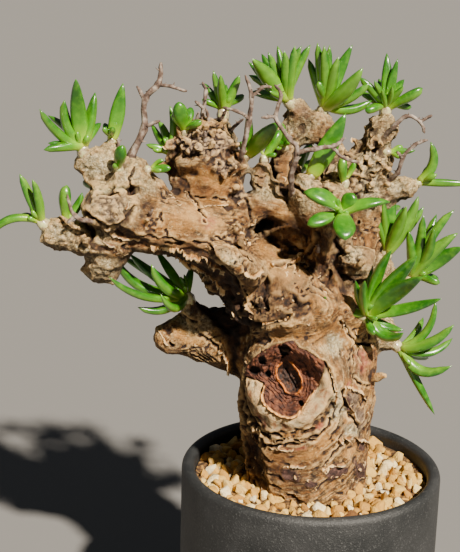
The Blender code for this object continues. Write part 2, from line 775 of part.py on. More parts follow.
def make_caudex(finish):
    """The whole caudex, from the root to the branch tips, as one grown solid."""
    draw = random.Random(WART_SEED)
    balls = scar_balls()
    for name, points in LIMBS.items():
        path = smooth_path(points, 7)
        balls += [(p.xyz, p.w) for p in path]
        balls += wart_balls(name, path, draw)

    def build(bm):
        for centre, radius in balls:
            place = Matrix.Translation(centre * MM)
            bmesh.ops.create_icosphere(bm, subdivisions=2, radius=radius * MM, matrix=place)

    caudex = add_object("caudex", mesh_from("caudex", build), finish)
    remesh = caudex.modifiers.new("One skin", "REMESH")
    remesh.mode = "VOXEL"
    remesh.voxel_size = VOXEL * MM
    soften = caudex.modifiers.new("Blend the limbs", "SMOOTH")
    soften.iterations = SMOOTH_PASSES
    soften.factor = 0.5
    apply_modifiers(caudex)
    roughen(caudex.data)
    reduce = caudex.modifiers.new("Fewer faces", "DECIMATE")
    reduce.ratio = CAUDEX_TRIANGLES / (2 * len(caudex.data.polygons))
    reduce.use_collapse_triangulate = True
    apply_modifiers(caudex)
    keep_largest_piece(caudex)
    caudex.data.shade_smooth()
    return caudex


def roughen(mesh):
    """Raises the swellings and folds of the bark above the mix, and hollows out the scar's dish."""
    moves = []
    for vert in mesh.vertices:
        point = vert.co / MM
        swell = noise.noise(point / 19)
        fold = 1 - abs(noise.noise(Vector((point.x / 10, point.y / 10, point.z / 7))))
        bare = min(max((point.z - 86) / 12, 0), 1)
        move = vert.normal * bare * (SWELL * swell + FOLD * (fold - 0.75)) * MM
        off_centre = math.hypot(point.x - SCAR_CENTRE[0], point.z - SCAR_CENTRE[1]) / SCAR_DISH_RADIUS
        if off_centre < 1 and point.y < -15:
            move = Vector((0, SCAR_DISH_DEPTH * (1 - off_centre**4) * MM, 0))
        moves.append(move)
    for vert, move in zip(mesh.vertices, moves):
        vert.co += move


def make_clearance(caudex):
    """The caudex grown by the clearance, which trims what sits on it or round it."""

    def build(bm):
        bm.from_mesh(caudex.data)
        moves = [v.normal * CLEARANCE * MM * min(v.calc_shell_factor(), 2.5) for v in bm.verts]
        for vert, move in zip(bm.verts, moves):
            vert.co += move

    return add_object("caudex_clearance", mesh_from("caudex_clearance", build), helper=True)


def surface_tree(obj):
    bm = bmesh.new()
    bm.from_mesh(obj.data)
    tree = BVHTree.FromBMesh(bm)
    bm.free()
    return tree


def seat_on(skin, seat, axis):
    """The point where a line through the seat along the axis comes out of the caudex."""
    reach = 12 * MM
    hit = skin.ray_cast(seat, axis, reach)[0] or skin.ray_cast(seat, -axis, reach)[0]
    return hit or seat


def leaf_mesh(name, root, way, axis, length, width, bow):
    """One leaf: its middle line is a curve that leaves the straight chord by the bow."""
    lift = axis - way * axis.dot(way)
    if lift.length < 0.25:
        lift = Vector((0, -1, 0)) + way * way.y
    lift.normalize()
    tip = root + way * length
    control = (root + tip) / 2 + lift * 2 * bow * length
    rings = LONG_LEAF_RINGS if length > LONG_LEAF * MM else SHORT_LEAF_RINGS
    path = [root * (1 - t) ** 2 + control * 2 * t * (1 - t) + tip * t * t for t in [r[0] for r in rings] + [1.0]]
    depth = LEAF_DEPTH * min(width, ROUND_LEAF_WIDTH)
    sizes = [(width / 2 * share * MM, depth * share * MM) for _, share in rings]
    return mesh_from(name, lambda bm: loft(bm, path, sizes, LEAF_SIDES, lift))


def make_head(name, head, finish, skin, clearance):
    """One head of leaves: a short green crown with its leaves fused to it, trimmed to sit on the caudex."""
    axis = direction(*head["faces"])
    foot = seat_on(skin, vector(head["seat"]), axis)
    small = len(head["leaves"]) <= SMALL_HEAD
    radius = SMALL_CROWN_RADIUS if small else CROWN_RADIUS
    height = SMALL_CROWN_HEIGHT if small else CROWN_HEIGHT
    leaves = []
    for i, (clock, lean, length, width, bow) in enumerate(head["leaves"]):
        way = direction(clock, lean)
        outward = way - axis * way.dot(axis)
        root = foot + outward * 0.5 * radius * MM + axis * height * (0.5 + 0.15 * (i % 3)) * MM - way * MM
        leaves.append(leaf_mesh(f"{name}_{i + 1}", root, way, axis, length * MM, width, bow))

    def crown(bm):
        path = [foot + axis * h * MM for h in (-CROWN_SINK, 0, height * 0.75, height)]
        sizes = [(radius * s * MM, radius * s * MM) for s in (0.8, 1.0, 0.8)]
        loft(bm, path, sizes, 7, Vector((0.31, 0.9, 0.27)))

    obj = add_object(f"leaves_{name}", mesh_from(name, crown), finish)
    fuse(obj, leaves)
    trim(obj, clearance)
    obj.data.shade_smooth()
    obj.data.set_sharp_from_angle(angle=math.radians(50))


def twig_mesh(name, points):
    path = [vector(p) for p in points]
    path.append(path[-1] + (path[-1] - path[-2]).normalized() * MM)
    sizes = [(p[3] * MM, p[3] * MM) for p in points]
    return mesh_from(name, lambda bm: loft(bm, path, sizes, 5, Vector((0.2, 0.95, 0.24))))


def make_stalk(name, twigs, finish, clearance):
    """One dry flower stalk: its twigs fused into a forked stem, trimmed where it stands on the caudex."""
    obj = add_object(f"dry_stalk_{name}", twig_mesh(name, twigs[0]), finish)
    fuse(obj, [twig_mesh(f"{name}_{i + 2}", twig) for i, twig in enumerate(twigs[1:])])
    trim(obj, clearance)


def main():
    clear_scene()
    stoneware = material("matte charcoal stoneware", (0.060, 0.062, 0.065), 0.55)
    grit = material("fired clay grit", (0.62, 0.42, 0.19), 0.9)
    bark = material("papery caudex bark", (0.50, 0.31, 0.15), 0.85)
    leaf = material("fleshy green leaf", (0.10, 0.33, 0.03), 0.35)
    dry = material("dry flower stalk", (0.25, 0.18, 0.13), 0.8)
    make_pot(stoneware)
    caudex = make_caudex(bark)
    skin = surface_tree(caudex)
    clearance = make_clearance(caudex)
    make_mix(grit, clearance)
    for name, head in HEADS.items():
        make_head(name, head, leaf, skin, clearance)
    for name, twigs in STALKS.items():
        make_stalk(name, twigs, dry, clearance)


main()
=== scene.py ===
import math
import random

import bmesh
import bpy
import numpy as np
from mathutils import Matrix, Vector, noise
from mathutils.bvhtree import BVHTree


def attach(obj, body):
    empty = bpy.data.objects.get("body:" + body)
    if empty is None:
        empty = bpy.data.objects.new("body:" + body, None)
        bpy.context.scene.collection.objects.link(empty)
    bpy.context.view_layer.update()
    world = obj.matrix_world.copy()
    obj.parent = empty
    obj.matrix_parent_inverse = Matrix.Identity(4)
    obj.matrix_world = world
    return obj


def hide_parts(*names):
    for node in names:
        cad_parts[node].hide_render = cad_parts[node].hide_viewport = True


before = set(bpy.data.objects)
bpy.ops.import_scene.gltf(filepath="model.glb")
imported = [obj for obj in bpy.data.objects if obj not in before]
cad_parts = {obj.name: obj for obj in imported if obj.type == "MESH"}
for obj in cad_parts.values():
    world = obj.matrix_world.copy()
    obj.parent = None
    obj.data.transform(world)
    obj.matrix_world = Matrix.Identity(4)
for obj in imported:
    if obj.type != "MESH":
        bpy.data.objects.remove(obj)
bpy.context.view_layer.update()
print("frame loaded with", len(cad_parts), "nodes")

mm = 0.001
goldenAngle = 137.5  # in degrees, the turn from one knob or leaf to the next

# The photograph's view: the camera, and what one of its pixels is in it
view = {
    "place": (-0.040, -0.552, 0.3493),
    "down": 15.7,
    "roll": 1.6,
    "focalPixels": 1282,
    "width": 460,
    "height": 552,
}


def cameraTurn():
    tilt = Matrix.Rotation(math.radians(90 - view["down"]), 3, "X")
    return tilt @ Matrix.Rotation(math.radians(view["roll"]), 3, "Z")


def pixelsOf(points):
    # where points (in metres) fall in the photograph
    local = (points - np.array(view["place"])) @ np.array(cameraTurn())
    depth = -local[:, 2]
    x = view["width"] / 2 + view["focalPixels"] * local[:, 0] / depth
    y = view["height"] / 2 - view["focalPixels"] * local[:, 1] / depth
    return np.stack([x, y], axis=1)


def rayThrough(px, py):
    across = (px - view["width"] / 2) / view["focalPixels"]
    up = (view["height"] / 2 - py) / view["focalPixels"]
    return Vector(view["place"]), (cameraTurn() @ Vector((across, up, -1))).normalized()


def direction(clock, lean):
    # clock is from +Z towards +X, and lean from there towards the viewer
    clock, lean = math.radians(clock), math.radians(lean)
    return Vector((math.cos(lean) * math.sin(clock), -math.sin(lean), math.cos(lean) * math.cos(clock)))


def linear(code):
    parts = [int(code[i : i + 2], 16) / 255 for i in (1, 3, 5)]
    return tuple(c / 12.92 if c <= 0.04045 else ((c + 0.055) / 1.055) ** 2.4 for c in parts) + (1.0,)


def addNode(tree, kind, links=None, stops=None, **settings):
    # stops are a colour ramp's: place and hex colour
    node = tree.nodes.new(kind)
    for key, value in settings.items():
        setattr(node, key, value)
    for socket, value in (links or {}).items():
        if isinstance(value, bpy.types.NodeSocket):
            tree.links.new(value, node.inputs[socket])
        else:
            node.inputs[socket].default_value = value
    if stops:
        elements = node.color_ramp.elements
        while len(elements) < len(stops):
            elements.new(0.5)
        for element, (place, code) in zip(elements, stops):
            element.position = place
            element.color = linear(code)
    return node


class Finish:
    # a material: named values over the surface, coats of colour one over another, and relief
    def __init__(self, name, **surface):
        self.material = bpy.data.materials.new(name)
        self.material.use_nodes = True
        self.tree = self.material.node_tree
        self.shader = self.tree.nodes["Principled BSDF"]
        for socket, value in surface.items():
            self.shader.inputs[socket.replace("_", " ")].default_value = value
        self.values = {"place": addNode(self.tree, "ShaderNodeTexCoord").outputs["Object"]}
        self.colour = None

    def read(self, *names):
        # the piece's own attributes
        for name in names:
            node = addNode(self.tree, "ShaderNodeAttribute", attribute_name=name)
            self.values[name] = node.outputs["Fac"]

    def draw(self, patterns, over="place"):
        # noise patterns, each by its size in millimetres, detail, roughness and distortion
        for name, (size, detail, roughness, distortion) in patterns.items():
            links = {"Vector": self.values[over], "Scale": 1 / (size * mm), "Detail": detail}
            links.update({"Roughness": roughness, "Distortion": distortion})
            self.values[name] = addNode(self.tree, "ShaderNodeTexNoise", links).outputs["Fac"]

    def share(self, *factors):
        # a product of numbers and values; a value can have the levels where it starts and is full, and limits
        product = None
        for factor in factors:
            if isinstance(factor, tuple):
                name, start, full, *limits = factor
                links = {"Value": self.values[name], "From Min": start, "From Max": full}
                links.update(zip(("To Max", "To Min"), limits))
                factor = addNode(self.tree, "ShaderNodeMapRange", links).outputs[0]
            elif isinstance(factor, str):
                factor = self.values[factor]
            if product is not None:
                links = {0: product, 1: factor}
                settings = {"operation": "MULTIPLY", "use_clamp": True}
                factor = addNode(self.tree, "ShaderNodeMath", links, **settings).outputs[0]
            product = factor
        return product

    def coat(self, paint, *factors):
        # a hex colour, or a value and the ramp that it runs through, laid as strongly as the factors' product
        if isinstance(paint, tuple):
            links = {0: self.values[paint[0]]}
            paint = addNode(self.tree, "ShaderNodeValToRGB", links, stops=paint[1:]).outputs[0]
        else:
            paint = linear(paint)
        if factors:
            links = {0: self.share(*factors), 6: self.colour, 7: paint}
            paint = addNode(self.tree, "ShaderNodeMix", links, data_type="RGBA").outputs[2]
        self.colour = paint

    def done(self, *reliefs):
        # each relief is its value, its strength and its height in millimetres
        self.tree.links.new(self.colour, self.shader.inputs["Base Color"])
        links = {}
        for name, strength, height in reliefs:
            links.update({"Strength": strength, "Distance": height * mm, "Height": self.values[name]})
            links["Normal"] = addNode(self.tree, "ShaderNodeBump", links).outputs[0]
        self.tree.links.new(links["Normal"], self.shader.inputs["Normal"])
        return self.material


def placed(name, data):
    made = bpy.data.objects.new(name, data)
    bpy.context.scene.collection.objects.link(made)
    return made


def settled(piece):
    # the plain mesh that a piece and its modifiers make
    graph = bpy.context.evaluated_depsgraph_get()
    made = bpy.data.meshes.new_from_object(piece.evaluated_get(graph))
    bpy.data.objects.remove(piece)
    return made


def newPiece(name, mesh, finish, slot, *replaced):
    piece = placed(name, mesh)
    mesh.materials.clear()
    mesh.materials.append(finish)
    mesh.shade_smooth()
    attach(piece, "root")
    if replaced:
        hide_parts(*replaced)


def camel(*words):
    return words[0] + "".join(word.capitalize() for word in words[1:])


def setAttributes(mesh, **named):
    for name, values in named.items():
        data = mesh.attributes.new(name, "FLOAT", "POINT").data
        data.foreach_set("value", np.asarray(values, np.float32))


def meshFrom(name, points, faces, turnOut=False):
    mesh = bpy.data.meshes.new(name)
    mesh.from_pydata([tuple(p) for p in points], [], faces)
    mesh.update()
    if turnOut:
        bm = bmesh.new()
        bm.from_mesh(mesh)
        bmesh.ops.recalc_face_normals(bm, faces=bm.faces)
        bm.to_mesh(mesh)
        bm.free()
    return mesh


def wrapFaces(rows, count, start=0, capped=False):
    # faces between rings of points that follow one another, with or without end caps
    faces = []
    for i in range(rows - 1):
        for k in range(count):
            a, b = start + i * count + k, start + i * count + (k + 1) % count
            faces.append((a, b, b + count, a + count))
    if capped:
        faces.append(tuple(start + k for k in reversed(range(count))))
        faces.append(tuple(start + (rows - 1) * count + k for k in range(count)))
    return faces


def pointsOf(mesh):
    flat = np.empty(len(mesh.vertices) * 3, np.float32)
    mesh.vertices.foreach_get("co", flat)
    return flat.reshape(-1, 3).astype(float)


def normalsOf(mesh):
    flat = np.empty(len(mesh.vertices) * 3, np.float32)
    mesh.vertex_normals.foreach_get("vector", flat)
    return flat.reshape(-1, 3).astype(float)


def smoothStep(low, high, x):
    t = np.clip((x - low) / (high - low), 0, 1)
    return t * t * (3 - 2 * t)


noiseWays = np.random.default_rng(3).normal(size=(256, 3))
noiseWays /= np.linalg.norm(noiseWays, axis=1)[:, None]


def noiseOf(points, size, seed=0.0):
    # smooth gradient noise from about -1 to 1 for each row of points, with features of this size
    spots = np.asarray(points, float) / size + seed * np.array([17.3, 5.1, 29.7])
    cell = np.floor(spots).astype(np.int64)
    part = spots - cell
    ease = part**3 * (part * (part * 6 - 15) + 10)
    total = np.zeros(len(spots))
    for corner in np.ndindex(2, 2, 2):
        near = cell + corner
        mixed = (near[:, 0] * 73856093) ^ (near[:, 1] * 19349663) ^ (near[:, 2] * 83492791)
        mixed = (mixed ^ (mixed >> 13)) * 1274126177
        way = noiseWays[(mixed >> 7) & 255]
        weight = np.prod(np.where(corner, ease, 1 - ease), axis=1)
        total += weight * np.einsum("ij,ij->i", way, part - corner)
    return total * 1.4


def curveThrough(points, steps):
    # a smooth curve through rows of numbers
    rows = [np.array(p, float) for p in points]
    rows = [2 * rows[0] - rows[1], *rows, 2 * rows[-1] - rows[-2]]
    made = []
    for a, b, c, d in zip(rows, rows[1:], rows[2:], rows[3:]):
        for step in range(steps):
            t = step / steps
            bend = (2 * a - 5 * b + 4 * c - d) * t * t + (3 * b - a - 3 * c + d) * t**3
            made.append(0.5 * (2 * b + (c - a) * t + bend))
    made.append(rows[-2])
    return made


def nearLine(points, line):
    # distance of points to a line of pixels
    best = np.full(len(points), 1e9)
    for a, b in zip(line, line[1:]):
        a, b = np.array(a, float), np.array(b, float)
        share = np.clip(((points - a) @ (b - a)) / ((b - a) @ (b - a)), 0, 1)
        best = np.minimum(best, np.linalg.norm(points - a - share[:, None] * (b - a), axis=1))
    return best


def insideOf(points, outline):
    # signed distance in pixels to a closed outline, positive inside
    inside = np.zeros(len(points), bool)
    closed = outline + outline[:1]
    for (ax, ay), (bx, by) in zip(closed, closed[1:]):
        crosses = (ay > points[:, 1]) != (by > points[:, 1])
        across = ax + (points[:, 1] - ay) * (bx - ax) / ((by - ay) or 1e-9)
        inside ^= crosses & (points[:, 0] < across)
    return np.where(inside, 1, -1) * nearLine(points, closed)


# The whole plant's skin as the CAD has it: everything that grows on it is set on this
skinCopy = bmesh.new()
skinCopy.from_mesh(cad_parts["caudex"].data)
bmesh.ops.remove_doubles(skinCopy, verts=skinCopy.verts, dist=0.01 * mm)
skin = BVHTree.FromBMesh(skinCopy)


def seenAt(px, py):
    # the point and the outward normal of the skin at a pixel of the photograph
    return skin.ray_cast(*rayThrough(px, py))[:2]


# Caudex: the swollen trunk and branches of the plant, one grown piece.
# Branch ends carry the spiral of small knobs that old leaves leave behind: centre line with radius, size of
# a knob and spacing, all in millimetres.
branchEnds = {
    "upperLeft": (
        [(-83, -16, 238, 9.0), (-90, -17, 243, 7.8), (-97, -18, 246, 6.5), (-104, -19, 249, 4.6)], 0.95, 2.2,
    ),
    "upperLeftKnob": ([(-91, -15, 245, 5.2), (-92, -14, 253, 4)], 1.1, 2.2),
    "stalkKnob": ([(-82, -17, 239, 7.7), (-83, -18, 246, 6)], 1.2, 2.5),
    "farLeft": ([(-101, -21, 214, 7.6), (-112, -24, 216.5, 6), (-118, -25, 220, 4.3)], 1.15, 2.3),
    "bottomLeft": ([(-95, -14, 203, 7.8), (-98, -13, 199, 6.5)], 1.2, 2.8),
    "midLeft": ([(-90, -23.5, 228, 9.2), (-95, -26.5, 230.5, 8.2)], 1.2, 2.8),
    "secondColumn": ([(-43, 3, 250, 8), (-45, 6, 262, 5.5)], 1.2, 2.6),
    "thinBranch": ([(-26, -6, 236, 5.1), (-27, -6, 245, 4.6)], 0.8, 2.3),
    "thickBranch": ([(-16, 8, 256, 6.7), (-11.5, 7, 269, 6)], 1.3, 2.6),
    "topStub": ([(-9, 8, 257, 5.4), (1, 8, 263.5, 4.8)], 1.2, 2.4),
    "greyBranch": ([(3.7, 9.5, 243, 6.6), (2.5, 10, 259, 5)], 0.9, 2.4),
    "greyBulge": ([(4, 6, 237, 6.6), (9.5, 3, 240.5, 5.4)], 1.1, 2.3),
    "paleStub": ([(-6, -9, 231, 7.6), (-9.5, -12, 240, 5.6)], 1.2, 2.3),
    "paleShoulder": ([(-4, -9, 234, 6.6), (7, -9, 234, 5.2)], 1.2, 2.3),
    "leafStub": ([(7, -4, 231, 6), (8, -5, 235, 4.2)], 1.1, 2.3),
    "rightColumn": ([(21, 10, 234, 9.6), (22.5, 10, 250, 7.3), (26, 10, 265, 4)], 1.7, 3.2),
    "rightSide": ([(26, 8, 233.5, 7.4), (34, 6, 234.5, 5.4), (39.5, 5, 235.5, 4.4)], 1.15, 2.3),
    "fiveLeafStem": ([(4, -19, 220, 6), (6, -23, 226, 4.2)], 0.9, 2.3),
    "frontStub": ([(13.5, -19.5, 205, 6.6), (17.5, -22, 206.5, 5.8)], 1.1, 2.5),
    "rightBack": ([(28, 6, 193, 7.6), (38.5, 6, 191, 5)], 1.1, 2.4),
    "rightUpper": ([(25, 5, 197, 6.2), (29, 4, 200.5, 4.8)], 1.0, 2.3),
    "rightLow": ([(27, -4, 171.5, 7.2), (32.5, -6, 168.5, 4.9)], 1.1, 2.4),
    "lowLeftStem": ([(-54, -1, 175, 6.4), (-56, -4, 181, 4.8)], 1.0, 2.3),
    "backLimb": ([(-8, 25, 215, 9.3), (-11, 28, 230, 6)], 1.5, 3.0),
    "backKnob": ([(-24, 24, 210, 10.4), (-30, 28, 221, 7.8)], 1.7, 3.3),
    "backLeft": ([(-38, 14, 202, 10), (-52, 20, 212, 5.8)], 1.4, 2.9),
    "backRight": ([(20, 22, 201, 9), (27.5, 30, 212, 5.8)], 1.4, 2.9),
}

# Old snapped stubs and nubs: the pixel of the photograph where each stands, its length and its radius
nubs = [
    (231, 190, 4.5, 2.4), (240, 196, 6.5, 2.6), (246, 193, 5.5, 2.2), (203, 149, 4.0, 1.9),
    (193, 146, 4.0, 1.7), (184, 150, 3.5, 1.7), (174, 148, 4.5, 1.9), (172, 178, 6.0, 3.2),
    (171, 167, 5.5, 3.0), (178, 186, 4.0, 2.6), (213, 170, 2.6, 1.9), (224, 172, 3.2, 1.8),
    (232, 167, 3.6, 1.7), (231, 234, 5.0, 2.6), (238, 247, 4.0, 2.4), (350, 253, 5.0, 2.6),
    (341, 262, 4.0, 2.4), (357, 264, 4.5, 2.4), (372, 377, 6.0, 2.4), (146, 221, 3.0, 1.8),
    (95, 250, 4.0, 2.4), (88, 243, 3.5, 2.2), (248, 268, 3.5, 2.2), (262, 306, 3.0, 2.4),
    (345, 165, 4.0, 2.2), (362, 172, 4.0, 2.4), (352, 190, 4.0, 2.2), (172, 142, 3.2, 1.7),
    (180, 135, 3.6, 1.5), (188, 142, 3.0, 1.8), (198, 135, 3.8, 1.5), (205, 130, 3.2, 1.6),
    (212, 136, 3.4, 1.8), (220, 126, 4.0, 1.5), (167, 150, 3.4, 1.6), (190, 153, 3.0, 1.7),
    (200, 147, 3.2, 1.5), (211, 146, 3.4, 1.6), (232, 146, 3.6, 1.7), (239, 156, 4.2, 1.6),
    (238, 168, 4.2, 1.8), (228, 160, 3.2, 1.8), (358, 142, 2.6, 1.8), (380, 142, 2.8, 1.7),
    (360, 160, 2.6, 1.8), (375, 160, 2.8, 1.9), (385, 168, 3.0, 1.8), (358, 178, 2.8, 1.8),
    (371, 185, 2.6, 1.9), (386, 186, 2.8, 1.8),
]

# The snapped branch stub at the fork, ribbed like a screw: pixels on the skin, height above it, radius
forkStub = [
    (254, 272, 2.5, 5.2), (245, 263, 5.5, 5.2), (236, 256, 8.5, 4.8), (226, 249, 11.0, 4.2),
    (216, 242, 13.0, 3.4),
]

# Where the real bark is fuller than the CAD's: pixel, depth and radius of a ball sunk in it
swellings = [
    (264, 243, -3, 5), (273, 239, -2, 5.5), (282, 234, -4, 6), (291, 232, -5, 6), (299, 242, -6, 6),
    (288, 246, -4, 6), (207, 187, -8, 9.8), (219, 183, -6, 9.2), (196, 183, -8, 8.8), (186, 176, -6, 8),
    (229, 176, -4, 7.5),
]

caudexBody = {
    "voxel": 0.7,
    "soften": 3,
    "knobSink": 0.25,
    "knobSpread": (0.65, 1.25),
    "knobCover": 0.8,
    "nubSteps": 5,
    "ribs": (1.12, 0.68),
    "seed": 7,
}


def knobBalls():
    # small balls in a golden-angle spiral round each branch end, half sunk
    draw = random.Random(caudexBody["seed"])
    golden = math.radians(goldenAngle)
    balls = []
    for line, size, spacing in branchEnds.values():
        path = curveThrough(line, 8)
        lengths = [np.linalg.norm(b[:3] - a[:3]) for a, b in zip(path, path[1:])]
        total = sum(lengths)
        radius = sum(p[3] for p in path) / len(path)
        count = int(2 * math.pi * radius * total / (caudexBody["knobCover"] * spacing * spacing))
        for k in range(count):
            along = total * (k + 0.5) / count
            i = 0
            while i < len(lengths) - 1 and along > lengths[i]:
                along -= lengths[i]
                i += 1
            share = min(along / lengths[i], 1)
            here = path[i] * (1 - share) + path[i + 1] * share
            way = Vector(path[i + 1][:3] - path[i][:3]).normalized()
            out = way.orthogonal().normalized()
            out.rotate(Matrix.Rotation(golden * k + draw.uniform(-0.3, 0.3), 3, way))
            start = Vector(here[:3]) * mm
            hit = skin.ray_cast(start + out * 25 * mm, -out, 25 * mm)[0]
            if hit and (hit - start).length < (here[3] + 3.5) * mm:
                ball = size * draw.uniform(*caudexBody["knobSpread"])
                balls.append((hit - out * ball * caudexBody["knobSink"] * mm, ball))
    return balls


def nubBalls():
    # a snapped stub is a short row of shrinking balls, a little bent
    draw = random.Random(caudexBody["seed"] + 1)
    balls = []
    for px, py, length, radius in nubs:
        point, normal = seenAt(px, py)
        if point is None:
            continue
        way = (normal + Vector((draw.uniform(-0.4, 0.4), 0, draw.uniform(-0.1, 0.6)))).normalized()
        for k in range(caudexBody["nubSteps"] + 1):
            share = k / caudexBody["nubSteps"]
            ball = radius * (1 - 0.35 * share) * draw.uniform(0.9, 1.1)
            balls.append((point + way * length * share * mm, ball))
    return balls


def stubBalls():
    path = []
    for px, py, height, radius in forkStub:
        point = seenAt(px, py)[0]
        path.append((*(point / mm - Vector((0, height, 0))), radius))
    thick, thin = caudexBody["ribs"]
    rows = curveThrough(path, 7)
    return [(Vector(row[:3]) * mm, row[3] * (thick if i % 5 < 3 else thin)) for i, row in enumerate(rows)]


def swellingBalls():
    balls = []
    for px, py, depth, radius in swellings:
        start, way = rayThrough(px, py)
        balls.append((start + way * ((depth * mm - start.y) / way.y), radius))
    return balls


def fineSkin():
    bm = bmesh.new()
    bmesh.ops.create_icosphere(bm, subdivisions=2, radius=1)
    ballPoints = np.array([v.co for v in bm.verts])
    ballFaces = np.array([[v.index for v in f.verts] for f in bm.faces])
    bm.free()
    allPoints = [np.array([v.co for v in skinCopy.verts])]
    allFaces = [np.array([[v.index for v in f.verts] for f in skinCopy.faces])]
    start = len(skinCopy.verts)
    for centre, radius in knobBalls() + nubBalls() + stubBalls() + swellingBalls():
        allPoints.append(ballPoints * radius * mm + np.array(centre))
        allFaces.append(ballFaces + start)
        start += len(ballPoints)
    mesh = meshFrom("caudexSkin", np.concatenate(allPoints), np.concatenate(allFaces).tolist())
    piece = placed("caudexSkin", mesh)
    remesh = piece.modifiers.new("oneSkin", "REMESH")
    remesh.mode = "VOXEL"
    remesh.voxel_size = caudexBody["voxel"] * mm
    soften = piece.modifiers.new("soften", "SMOOTH")
    soften.iterations = caudexBody["soften"]
    return settled(piece)


class SkinMaths:
    # numpy view of a mesh: its points in millimetres, its edges, and smoothing along them
    def __init__(self, mesh):
        self.points = pointsOf(mesh) / mm
        self.normals = normalsOf(mesh)
        edges = np.empty(len(mesh.edges) * 2, np.int32)
        mesh.edges.foreach_get("vertices", edges)
        self.edges = edges.reshape(-1, 2)
        self.degree = np.bincount(self.edges.ravel(), minlength=len(self.points)).astype(float)

    def smoothed(self, values, rounds):
        made = values.astype(float)
        a, b = self.edges.T
        for _ in range(rounds):
            columns = made.reshape(len(made), -1)
            sums = [np.bincount(a, c[b], len(c)) + np.bincount(b, c[a], len(c)) for c in columns.T]
            total = np.stack(sums, axis=1)
            made = (0.5 * columns + 0.5 * total / self.degree[:, None]).reshape(made.shape)
        return made

    def hollowness(self, rounds):
        # how far each point lies below its smoothed neighbourhood, in millimetres
        return np.einsum("ij,ij->i", self.smoothed(self.points, rounds) - self.points, self.normals)


caudexMesh = fineSkin()
caudex = SkinMaths(caudexMesh)
print("fine skin:", len(caudexMesh.vertices), "points", len(caudexMesh.polygons), "faces")


# The old pruning scar: its edge and the bark healed in over that edge are pixels of the photograph
scar = {
    "centre": (-12.5, 158.3),
    "sink": 3.0,
    "callusRise": 0.9,
    "outline": [
        (262, 352), (275, 346), (286, 343), (293, 341), (298, 349), (305, 351), (315, 357), (323, 363),
        (322, 373), (319, 382), (315, 390), (308, 399), (303, 407), (298, 415), (290, 418), (281, 416),
        (272, 411), (264, 404), (261, 396), (264, 388), (264, 381), (258, 378), (250, 379), (245, 376),
        (247, 368), (253, 360),
    ],
    "callus": [
        (322, 363), (326, 370), (330, 380), (332, 391), (329, 402), (322, 413), (312, 422), (300, 428),
        (286, 431), (272, 429), (262, 423), (254, 412), (249, 400), (247, 388), (249, 378), (258, 377),
        (264, 382), (261, 396), (272, 412), (290, 419), (300, 414), (309, 399), (318, 383), (322, 372),
    ],
}

# Hollows under the limbs, sunk in and given painted shade: how deep each is, whether it also reaches round
# the side, and its pixel outline
caves = [
    (1.0, True, [
        (190, 290), (200, 286), (214, 291), (228, 300), (238, 312), (250, 320), (262, 326), (250, 331),
        (240, 340), (239, 356), (238, 374), (233, 374), (229, 350), (219, 332), (206, 316), (194, 302),
    ]),
    (0.8, True, [
        (146, 246), (160, 247), (178, 250), (196, 257), (212, 264), (228, 270), (236, 280), (243, 293),
        (250, 308), (256, 322), (238, 318), (226, 300), (206, 284), (184, 270), (160, 258),
    ]),
    (0.75, False, [
        (243, 432), (250, 440), (258, 452), (263, 466), (268, 484), (262, 492), (254, 478), (247, 460),
        (242, 446),
    ]),
]

